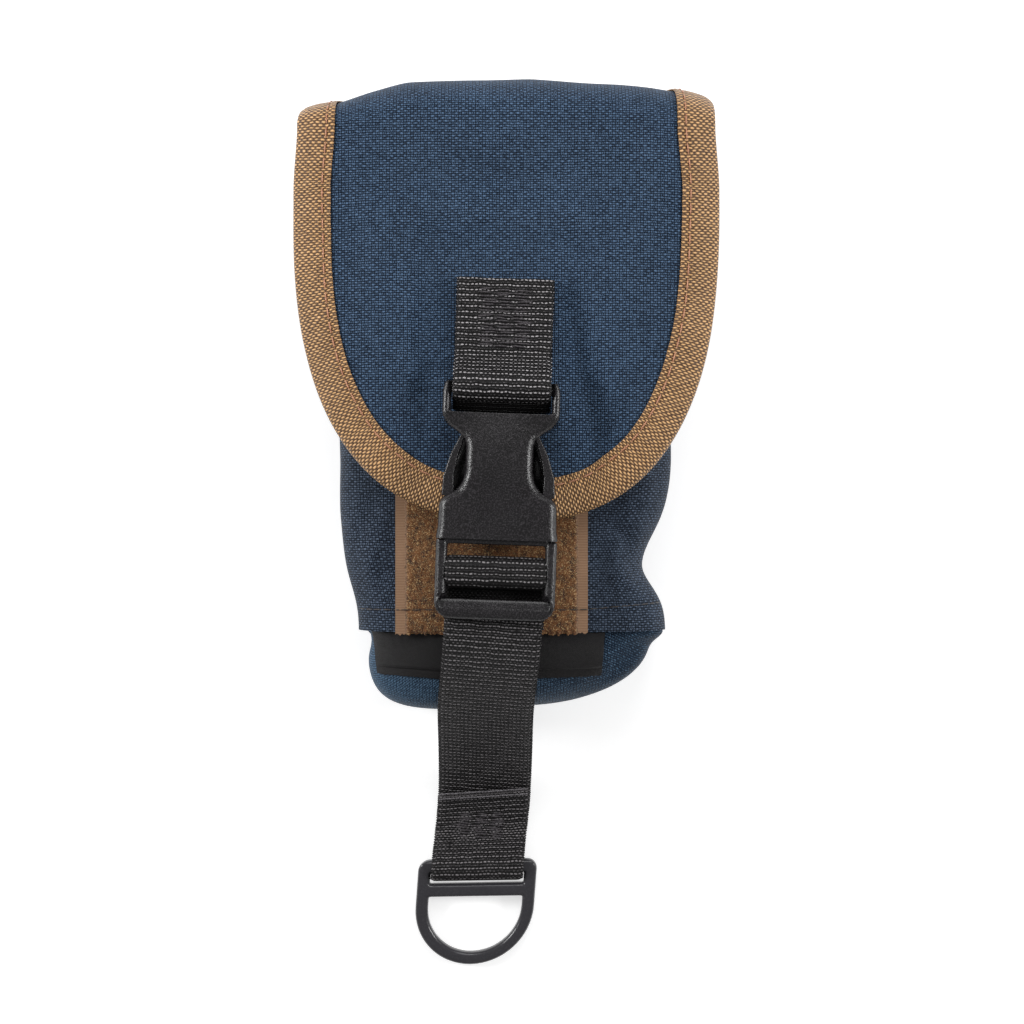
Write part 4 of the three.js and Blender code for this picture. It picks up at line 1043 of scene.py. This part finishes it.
# Webbing along a path in the v-w plane: a flat section with round selvedges, which swell and
# sink once for each pick, its upper and lower faces thinner at the very edge
def webRings(frame, path, look, slant=None, shift=None):
    half, thick = look["half"], look["thick"]
    path = evenly(path, look["step"])
    forward = unit(np.gradient(path, axis=0))
    normal = pack(-forward[:, 1], forward[:, 0])
    length = pathLengths(path)
    across = np.linspace(-1, 1, look["count"])
    top = pack(across, 0.5 * (1 - (1 - look["rim"]) * np.abs(across) ** look["rimPower"]))
    rounds = np.linspace(np.pi / 2, -np.pi / 2, 7)[1:-1]
    right = pack(1 + look["roundness"] * thick / half * np.cos(rounds), look["rim"] / 2 * np.sin(rounds))
    section = np.concatenate([top, right, (top * [1, -1])[::-1], right[::-1] * [-1, 1]])
    atEdge = np.abs(section[:, 0]) > 0.97
    swell = look["scallop"] * np.sin(2 * np.pi * length / look["pick"])[:, None] * atEdge[None]
    u = section[None, :, 0] * half + np.sign(section[None, :, 0]) * swell
    h = section[None, :, 1] * thick
    v = path[:, None, 0] + normal[:, None, 0] * h
    w = path[:, None, 1] + normal[:, None, 1] * h
    if slant is not None:
        lean = slant(path, length)
        v = v + u * lean[:, :1]
        w = w + u * lean[:, 1:]
    if shift is not None:
        u = u + shift(path[:, 0])[:, None]
    return inFrame(frame, u, v, w), pack(sectionLengths(section * [half, thick])[None], length[:, None])


# Piece of webbing along a path, with its own values over the common ones
def addStrap(name, frame, path, paint, node, body=None, bend=None, slant=None, shift=None, **own):
    piece = addTube(name, *webRings(frame, path, {**web, **own}, slant, shift), sharp=60.0)
    addPiece(piece, paint, [node], body, bend)


def metres(point):  # a point in the frame's own unit
    return tuple(float(value) * mm for value in point)


def bendIn(frame, first, second, start, stop):  # a bend between two places given as v and w
    return (first, second, metres(inFrame(frame, 0, *start)), metres(inFrame(frame, 0, *stop)))


# Flap's webbing: from its sewn end over the flap, through the socket's slot and back beneath
flapStrapPath = np.concatenate([
    [[66.8, -3.1]], easePath(48.0, -3.1, 39.6, 3.1), arc(38.6, 0.0, 3.1, 90, 175, 20),
    arc(35.3, -3.2, 2.2, 165, 270, 24), easePath(37.4, -5.4, 48.0, -4.8), [[66.8, -4.8]],
])
addStrap("flapWebbing", buckleFrame, flapStrapPath, flapWebPaint, "flap_strap", "flap", half=12.1)

# Webbing round the plug's middle bar, then steeply down and under the lower bar
wrapPath = np.concatenate([
    [[-8.2, -2.5]], arc(-7.2, -0.2, 2.3, -90, 0), arc(-7.2, 0.2, 2.3, 0, 90), arc(-9.6, 0.2, 2.3, 90, 180),
    arc(-13.4, -2.6, 1.5, 0, -90, 10), easePath(-14.4, -4.1, -17.6, -2.6, 12), [[-20.4, -2.6]],
])
addStrap("wrapWebbing", buckleFrame, wrapPath, wrapWebPaint, "strap_wrap", "plug")

# Fixed webbing from the hem seam up to the plug
loadPath = np.concatenate([[[-23.1, -8.7]], easePath(-21.5, -8.7, -10.0, -4.3), [[-5.7, -4.3]]])
loadBend = bendIn(buckleFrame, "pouch", "plug", (-21.5, -8.7), (-10.0, -8.7))
addStrap("hemWebbing", buckleFrame, loadPath, webPaint, "load_strap", bend=loadBend)

# Free tail: it hangs from the lower bar over the rounded end on to the table
tail = {
    "start": -1.8, "split": -40.0, "half": 12.2, "high": -2.6, "low": -45.2, "run": 60.0, "easeFrom": -2.58,
    "ringV": -71.6, "ringW": -42.286, "turn": 2.914, "fold": -50.3,
    "ringGap": 5.83, "sewnGap": 1.7, "closing": 7.0,
    "slantFrom": -52.0, "ringSlant": 0.09, "foldSlant": 0.16,
}


def tailPoint(v):  # half cosine from the buckle's level down to the table's
    return pack(v, ease(tail["high"], tail["low"], (tail["easeFrom"] - v) / tail["run"]))


def tailNormal(v):  # slope of the tail turned by a quarter, with length one
    step = tailPoint(v + 0.01) - tailPoint(v - 0.01)
    return unit(pack(-step[:, 1], step[:, 0]))


def foldPoint(v, above):  # the fold's upper turn, closing down on the tail behind the ring's bar
    gap = ease(tail["ringGap"], tail["sewnGap"], (v - tail["ringV"]) / tail["closing"])
    return tailPoint(v) + tailNormal(v) * (gap + above)[:, None]


def tailShift(v):  # the tail wanders a little aside: left below the pouch, right at the ring
    return 0.75 * rise(30.0, 54.0, -v) - 0.4 * rise(55.0, 70.0, -v) - 0.45 * hill(v, -25.0, 8.0)


# Slope of the webbing's cross threads: none at first, more at the ring, most at the sewn end
def foldSlant(path, length):
    down = tail["ringSlant"] * rise(-tail["slantFrom"], -tail["ringV"], -path[:, 0])
    share = (path[:, 0] - tail["ringV"]) / (tail["fold"] - tail["ringV"])
    back = between(tail["ringSlant"], tail["foldSlant"], share)
    turned = length > length[path[:, 0].argmin()]
    lean = np.where(turned, np.maximum(back, tail["ringSlant"]), down)
    normal = tailNormal(path[:, 0])
    return pack(lean, -lean * normal[:, 0] / normal[:, 1])


upperPath = tailPoint(np.linspace(tail["start"], tail["split"], 160))
swingBend = bendIn(tailFrame, "plug", "tail_upper", (-1.8, -2.6), (-8.0, -4.0))
addStrap("tailWebbing", tailFrame, upperPath, dullWebPaint, "tail_strap", bend=swingBend, half=tail["half"],
         shift=tailShift)
lowerPath = np.concatenate([
    tailPoint(np.linspace(tail["split"], tail["ringV"], 140)),
    arc(tail["ringV"] - 0.5, tail["ringW"], tail["turn"], 270, 90, 40),
    foldPoint(np.linspace(tail["ringV"] + 0.3, tail["fold"], 110), np.zeros(110)),
])
tailBend = bendIn(tailFrame, "tail_upper", "tail_lower", (-45.4, -39.0), (-53.4, -42.0))
addStrap("foldWebbing", tailFrame, lowerPath, dullWebPaint, "tail_end", bend=tailBend, half=tail["half"],
         slant=foldSlant, shift=tailShift)

# Wide loop on the back for a belt
beltPath = np.concatenate([
    [[89.0, 5.1]], easePath(79.0, 5.1, 73.0, 0.8), easePath(27.0, 0.8, 21.0, 5.1), [[11.0, 5.1]],
])
addStrap("beltWebbing", beltFrame, beltPath, webPaint, "belt_loop", "pouch", half=25.0, thick=1.6,
         scallop=0.1, step=0.35)
print("webbing made")


threadShape = (0.12, 0.75, 1.0, 1.0, 1.0, 0.75, 0.12)


# Threads: each is a small closed tube, thin at both ends, along a straight line that bows by
# half a sine, and one mesh holds them all
def addThreads(name, starts, stops, normals, radius, sag, paint, slot, nodes=(), body=None, bend=None):
    steps, sides = len(threadShape), 8
    share = np.linspace(0, 1, steps)
    thick = radius * np.array(threadShape)
    forward = unit(stops - starts)
    side = unit(np.cross(forward, normals))
    up = np.cross(side, forward)
    bow = sag * np.sin(np.pi * share)
    run = (stops - starts)[:, None] * share[None, :, None]
    centre = starts[:, None] + run + up[:, None] * bow[None, :, None]
    angle = np.linspace(0, 2 * np.pi, sides + 1)[:-1]
    spoke = side[:, None] * np.cos(angle)[None, :, None] + up[:, None] * np.sin(angle)[None, :, None]
    rings = centre[:, :, None] + spoke[:, None] * thick[None, :, None, None]
    count = len(starts)
    at = np.arange(count * steps * sides).reshape(count, steps, sides)
    after = np.roll(at, -1, axis=2)
    quads = pack(at[:, :-1], at[:, 1:], after[:, 1:], after[:, :-1]).reshape(-1, 4)
    points = rings.reshape(-1, 3)
    if signedVolume(points, quads) < 0:
        quads = quads[:, ::-1]
        caps = [at[:, 0], at[:, -1, ::-1]]
    else:
        caps = [at[:, 0, ::-1], at[:, -1]]
    length = np.linalg.norm(stops - starts, axis=1)
    number = np.arange(count)[:, None, None]
    v = share[None, :, None] * length[:, None, None] + number * 3.7
    flat = pack(np.arange(sides) * 0.2, v).reshape(-1, 2)
    faces = quads.tolist() + [cap.tolist() for ends in caps for cap in ends]
    corners = np.concatenate([flat[quads].reshape(-1, 2)] + [flat[ends].reshape(-1, 2) for ends in caps])
    addPiece(addMesh(name, points, faces, corners, 60.0), paint, nodes, body, bend)


def threadsIn(frame, starts, stops):  # both ends of every thread, placed by the frame
    return inFrame(frame, *np.array(starts).T), inFrame(frame, *np.array(stops).T)


tack = {"pitch": 4.4, "shift": 0.8, "short": 3.4, "long": 5.2, "over": 0.6, "uneven": 0.16, "slant": 0.35}


# Bartack: rows of short strands across the webbing, partly sunk in it and a little uneven
def tackThreads(frame, heightAt, low, high, width, rows, seed):
    random = np.random.default_rng(seed)
    starts, stops = [], []
    for v in np.linspace(low, high, rows):
        shift = random.uniform(-tack["shift"], tack["shift"])
        for left in np.arange(-width / 2, width / 2, tack["pitch"]) + shift:
            right = min(left + random.uniform(tack["short"], tack["long"]), width / 2 + tack["over"])
            here = v + random.uniform(-tack["uneven"], tack["uneven"])
            there = here + random.uniform(-tack["slant"], tack["slant"])
            starts.append((left, here, heightAt(here)))
            stops.append((right, there, heightAt(there)))
    return threadsIn(frame, starts, stops)


# Bartack as a piece, in black thread
def addTack(name, node, body, threads, up=upward, radius=0.24, sag=0.1):
    addThreads(name, *threads, up, radius, sag, blackThread, "thread", [node], body)


def foldTop(v):  # level in the fold's upper face where the bartack lies
    return float(foldPoint(np.array([v]), np.array([0.7]))[0, 1])


tackOnFlap, tackOnBelt = -2.34, 4.25
flapTack = tackThreads(buckleFrame, lambda v: tackOnFlap, 49.6, 63.8, 13.0, 19, 71)
addTack("flapTack", "flap_bartack", "flap", flapTack, radius=0.25, sag=0.12)
tailTack = tackThreads(tailFrame, foldTop, -63.8, -55.8, 13.0, 12, 72)
addTack("tailTack", "tail_bartack", "tail_lower", tailTack)

# Cut end of the fold: short pale ends of the running threads, side by side along the slanted
# edge, in an upper and a lower row given by how far back and how high they lie. Their pale colour
# is a painted highlight on the lit cut edge
cutEnd = {
    "half": 11.9, "pitch": 0.5, "rows": ((0.75, 0.95), (-0.35, 0.35)), "left": 0.25, "right": 0.3,
    "run": 0.5, "fall": 0.15, "unevenHeight": (-0.08, 0.08), "unevenSide": (-0.05, 0.05),
}
random = np.random.default_rng(77)
starts, stops = [], []
for u in np.arange(-cutEnd["half"], cutEnd["half"], cutEnd["pitch"]):
    v = tail["fold"] + tail["foldSlant"] * u
    middle = u + float(tailShift(v))
    for back, above in cutEnd["rows"]:
        height = above + random.uniform(*cutEnd["unevenHeight"])
        point = foldPoint(np.array([v - back]), np.array([height]))[0]
        starts.append((middle - cutEnd["left"] + random.uniform(*cutEnd["unevenSide"]), *point))
        point = foldPoint(np.array([v - back + cutEnd["run"]]), np.array([above - cutEnd["fall"]]))[0]
        stops.append((middle + cutEnd["right"] + random.uniform(*cutEnd["unevenSide"]), *point))
foldEnds = threadsIn(tailFrame, starts, stops)
addThreads("foldEnds", *foldEnds, upward, 0.24, 0.05, highlightThread, "webbing", (), "tail_lower")
upperTack = tackThreads(beltFrame, lambda v: tackOnBelt, 80.6, 87.4, 42.0, 7, 73)
lowerTack = tackThreads(beltFrame, lambda v: tackOnBelt, 12.8, 19.4, 42.0, 7, 74)
addTack("beltTackUpper", "belt_stitch_upper", "pouch", upperTack, -upward)
addTack("beltTackLower", "belt_stitch_lower", "pouch", lowerTack, -upward)


# Running stitches along a line on a surface: each goes under at both ends
def lineStitches(points, normals, pitch, share):
    length = pathLengths(points)
    begin = np.arange(int(length[-1] / pitch)) * pitch + pitch * (1 - share) / 2
    starts, stops = (onLine(points, length, place) for place in (begin, begin + pitch * share))
    return starts, stops, onLine(normals, length, begin + pitch / 2)


flapStitch = {"pitch": 3.9, "share": 0.84, "radius": 0.19, "sag": 0.12}
seam = plan + inward * flap["stitchAt"]


def seamLine(lift):  # the stitch line at a height over the flap's middle, over the top too
    left, right = (
        onTop(side * (topHalf(shares) - flap["stitchAt"]), shares, np.full(len(shares), lift))
        for side, shares in ((-1, firstHalf), (1, firstHalf[::-1]))
    )
    return np.concatenate([left, onFlap(seam[:, 0], seam[:, 1], np.full(len(seam), lift)), right])


upperLine = seamLine(flap["outer"] - 0.02)
lean = unit(upperLine - seamLine(0.0))
flapSeam = lineStitches(upperLine, lean, flapStitch["pitch"], flapStitch["share"])
addThreads("flapSeam", *flapSeam, flapStitch["radius"], flapStitch["sag"], tanThread, "thread",
           bend=foldBend)

hemX = np.linspace(-hemStitch["half"], hemStitch["half"], 400)
hemY = hemStitch["y"] + hemStitch["rise"] * rise(*hemStitch["riseFrom"], hemX)


def onFront(x, y):  # points of the front's middle and their normals, nearest in its U to each x
    shares = np.linspace(0.02, 0.98, 700)
    cut = hoop(shares[None, :], y[:, None])
    nearest = np.abs(cut[:, :, 0] - x[:, None]).argmin(axis=1)
    rows = np.arange(len(x))
    along = unit(cut[rows, nearest + 1] - cut[rows, nearest - 1])
    return cut[rows, nearest], pack(-along[:, 2], 0.0, along[:, 0])


points, normals = onFront(hemX, hemY)
overPatch = np.abs(hemX - patch["middle"]) < hemStitch["pileHalf"]
raised = np.where(overPatch, hemStitch["overPile"], hemStitch["overCloth"])[:, None]
hemSeam = lineStitches(points + normals * raised, normals, hemStitch["pitch"], hemStitch["share"])
addThreads("hemSeam", *hemSeam, hemStitch["radius"], hemStitch["sag"], brownThread, "thread", body="pouch")
print("stitches made")


def swell(mesh, reach):  # moves a skin out along its normals, to make up for what relaxing took
    count = len(mesh.vertices) * 3
    points, normals = np.zeros(count), np.zeros(count)
    mesh.vertices.foreach_get("co", points)
    mesh.vertices.foreach_get("normal", normals)
    mesh.vertices.foreach_set("co", points + normals * reach)


moulding = {"weld": 1e-5, "relax": 0.5, "give": 0.012}


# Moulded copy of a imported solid: its seams merged, a fine even skin, edges rounded by relaxing
def mould(node, name, frame, voxel, rounds, paint, body, reshape=None, extra=None):
    mesh = bpy.data.objects[node].data.copy()
    mesh.materials.clear()
    piece = bpy.data.objects.new(name, mesh)
    bpy.context.collection.objects.link(piece)
    there = Matrix.Translation(metres(frame["origin"])) @ Matrix.Rotation(frame["turn"], 4, "Z")
    mesh.transform(there.inverted())
    weld = piece.modifiers.new("weld", "WELD")
    weld.merge_threshold = moulding["weld"]
    skin = piece.modifiers.new("skin", "REMESH")
    skin.mode = "VOXEL"
    skin.voxel_size = voxel * mm
    relax = piece.modifiers.new("relax", "SMOOTH")
    relax.factor = moulding["relax"]
    relax.iterations = rounds
    ready = bpy.data.meshes.new_from_object(piece.evaluated_get(bpy.context.evaluated_depsgraph_get()))
    swell(ready, moulding["give"] * rounds * mm)
    if reshape:
        points = np.zeros(len(ready.vertices) * 3)
        ready.vertices.foreach_get("co", points)
        ready.vertices.foreach_set("co", (reshape(points.reshape(-1, 3) / mm) * mm).ravel())
    if extra:
        joined = bmesh.new()
        joined.from_mesh(ready)
        extra(joined)
        joined.to_mesh(ready)
        joined.free()
    ready.transform(there)
    ready.polygons.foreach_set("use_smooth", np.ones(len(ready.polygons), bool))
    piece.modifiers.clear()
    piece.data = ready
    ready.name = name
    addPiece(piece, paint, [node], body)


ladder = {
    "inner": 12.7, "wider": 0.35, "half": 15.4, "corner": 4.6, "drawn": 4.1, "top": 2.5, "round": 1.0,
    "barTop": (-16.2, -15.2), "ledge": 1.5,
}


# Ladder frame: its lower corners are drawn in by a quarter ellipse, its rails are a little
# narrower inside, and its lower bar's upper edge reaches up
def roundFoot(points):
    u, v, w = points.T
    inner, slimmer = ladder["inner"], ladder["inner"] - ladder["wider"]
    side, widest = np.abs(u), halfAt(points)
    rim = np.minimum(widest - side, np.where(side > inner, side - inner, 9.0))
    w = np.where(v < -0.6, roundOver(w, ladder["top"], np.clip(rim, 0, None), ladder["round"]), w)
    down = np.clip((v.min() + ladder["corner"] - v) / ladder["corner"], 0, 1)
    half = ladder["half"] - ladder["drawn"] * (1 - np.sqrt(1 - 0.985 * down ** 2))
    rail = between(slimmer, half, (side - inner) / (widest - inner))
    rail = np.where(side > inner, rail, side - ladder["wider"] * rise(9.0, inner, side))
    bar = side * between(1, half / widest, rise(5.0, 10.0, side))
    side = between(side, between(bar, rail, rise(*ladder["barTop"], v)), rise(0.5, 1.5, -v))
    ledge = rise(-0.2, 0.6, w) * rise(-17.6, -16.9, v) * (1 - rise(-15.0, -14.0, v))
    ledge = ledge * (1 - rise(13.6, 14.4, side))
    return pack(np.sign(u) * side, v + ladder["ledge"] * ledge, w)


# Socket's outline: half its width at each place up from the mouth
socket = {
    "outline": (
        (-0.5, 15.5), (1.0, 15.4), (2.5, 15.1), (8.5, 15.0), (9.8, 14.7), (10.8, 13.7), (11.6, 12.2),
        (12.5, 10.8), (13.8, 9.7), (15.6, 8.9), (17.5, 8.6), (23.5, 8.6), (25.2, 9.1), (26.6, 10.3),
        (27.8, 12.1), (28.8, 13.6), (30.2, 14.7), (32.0, 15.0), (37.5, 15.0), (39.0, 14.7), (40.5, 14.2),
    ),
    "slot": 12.9, "slotFrom": 31.5, "top": 4.5, "headTop": 2.2, "round": 2.2, "headRound": 1.3,
}


def halfAt(points, step=0.5):  # a skin's own half width, for every point
    place = ((points[:, 1] - points[:, 1].min()) / step).astype(int)
    widest = np.zeros(place.max() + 1)
    np.maximum.at(widest, place, np.abs(points[:, 0]))
    return widest[place]


def roundOver(w, top, inside, radius):  # lowers a flat top by a quarter circle towards its edge
    short = np.clip(radius - inside, 0, radius)
    fall = radius - np.sqrt(radius ** 2 - short ** 2)
    return w - fall * np.clip((w - top + 1.3 * radius) / (1.3 * radius), 0, 1)


def socketHalf(v):  # half width of the socket's outline
    return softLine(v, socket["outline"], 0.5)


# Socket: its middle is drawn in to a waist, its upper face levelled and its edges rounded,
# beside the slot's posts too
def socketShape(points):
    u, v, w = points.T
    half = socketHalf(v)
    side = np.abs(u)
    side = side * between(1, half / halfAt(points), rise(5.0, 7.5, side))
    slope = (socketHalf(v + 0.3) - half) / 0.3
    inside = np.clip(half - side, 0, None) / np.sqrt(1 + slope ** 2)
    post = rise(socket["slotFrom"], socket["slotFrom"] + 1.0, v)
    fromSlot = 9 - (9 - np.clip(side - socket["slot"], 0, 9)) * post
    inside = np.where(side > socket["slot"] - 0.4, np.minimum(inside, fromSlot), inside)
    head = rise(28.5, 32.5, v)
    top = between(socket["top"], socket["headTop"], np.clip((v - 29) / 4, 0, 1))
    even = between(socket["top"], socket["headTop"], rise(18.0, 41.0, v))
    level = rise(0.86, 0.96, w / top)
    w = between(w + (even - top) * rise(0.4, 1.0, w / top), even, level)
    radius = between(socket["round"], socket["headRound"], head)
    w = roundOver(w, even, inside, radius) - 0.7 * (side / 15.0) ** 2 * rise(1.0, 4.0, w) * (1 - head)
    return pack(np.sign(u) * side, v, w)


# Plates in the socket's lower half, seen beside its waist, that darken its side windows: painted
# shade. An outline up each side
shadePlate = {
    "outline": (
        (6.8, 10.5), (13.3, 11.0), (13.6, 14.0), (13.2, 18.0), (12.0, 22.0), (9.8, 25.8), (6.8, 27.2),
    ),
    "low": -4.4, "high": -3.2,
}


# Each outline as the foot, the head and the walls of a flat closed plate
def addShadePlates(mesh):
    count = len(shadePlate["outline"])
    order = np.arange(count)
    after = np.roll(order, -1)
    walls = pack(order, after, after + count, order + count)
    for side in (1, -1):
        ring = np.array(shadePlate["outline"]) * [side, 1]
        points = np.concatenate([np.c_[ring, np.full(count, shadePlate[level])] for level in ("low", "high")])
        faces = [order[::-1].tolist(), (order + count).tolist()] + walls.tolist()
        if side < 0:
            faces = [face[::-1] for face in faces]
        plate = bpy.data.meshes.new("shadePlate")
        plate.from_pydata((points * mm).tolist(), [], faces)
        mesh.from_mesh(plate)
        bpy.data.meshes.remove(plate)


mouldings = (
    ("buckle_socket", "socketShell", 0.26, 8, "flap", socketShape, addShadePlates),
    ("buckle_plug", "plugFrame", 0.26, 12, "plug", roundFoot, None),
    ("latch_arm_left", "latchLeft", 0.2, 9, "left_arm", None, None),
    ("latch_arm_right", "latchRight", 0.2, 9, "right_arm", None, None),
)
for node, name, voxel, rounds, body, reshape, extra in mouldings:
    mould(node, name, buckleFrame, voxel, rounds, bucklePaint, body, reshape, extra)


# The ring lies as aslant as the webbing in its slot. Its upper corners are rounded: a square
# about the corner's centre is drawn in to the circle inside it
def slantRing(points):
    u, v, w = points.T
    radius = 3.0
    sideStart, topStart = np.abs(u).max() - radius, v.max() - radius
    a = (np.abs(u) - sideStart) / radius
    b = (v - topStart) / radius
    corner = (a > 0) & (b > 0)
    side = np.where(corner, a * np.sqrt(np.clip(1 - b * b / 2, 0, 1)), a) * radius + sideStart
    up = np.where(corner, b * np.sqrt(np.clip(1 - a * a / 2, 0, 1)), b) * radius + topStart
    return pack(np.sign(u) * side + 0.4, up + tail["ringSlant"] * u, w)


mould("d_ring", "ringMoulding", tailFrame, 0.28, 10, ringPaint, "ring", slantRing)
print("mouldings made")

# Table: pale, with a glow of its own that only the camera, reflections and glass see, so that
# it reads white and keeps a faint shadow. It falls away under the flap's top, which opens
# over its edge
stage = {"size": 6.0, "floor": 0.78, "glow": 0.56, "edge": 0.110, "foot": 0.122, "drop": 0.006}

world = bpy.data.worlds.new("room")
bpy.context.scene.world = world
world.use_nodes = True
background = world.node_tree.nodes["Background"]
background.inputs["Color"].default_value = (1.0, 1.0, 1.0, 1.0)
background.inputs["Strength"].default_value = roomLight
floorMesh = bpy.data.meshes.new("table")
half = stage["size"] / 2
profile = ((-half, 0), (stage["edge"], 0), (stage["foot"], -stage["drop"]), (half, -stage["drop"]))
floorPoints = [(x, y, z) for y, z in profile for x in (-half, half)]
floorMesh.from_pydata(floorPoints, [], [(row, row + 1, row + 3, row + 2) for row in (0, 2, 4)])
floor = bpy.data.objects.new("table", floorMesh)
bpy.context.collection.objects.link(floor)
table = Paint("tableWhite", Roughness=0.8, Base_Color=(stage["floor"],) * 3 + (1.0,), Emission_Strength=1.0)
rays = ("Is Camera Ray", "Is Glossy Ray", "Is Transmission Ray")
seen = sum(table.node("LightPath", out=ray) for ray in rays)
glow = (stage["glow"],) * 3 + (1.0,)
table.feed("Emission Color", table.mix(seen.rise(0.0, 1.0), (0.0, 0.0, 0.0, 1.0), glow))
floorMesh.materials.append(table.material)
print("stage made")
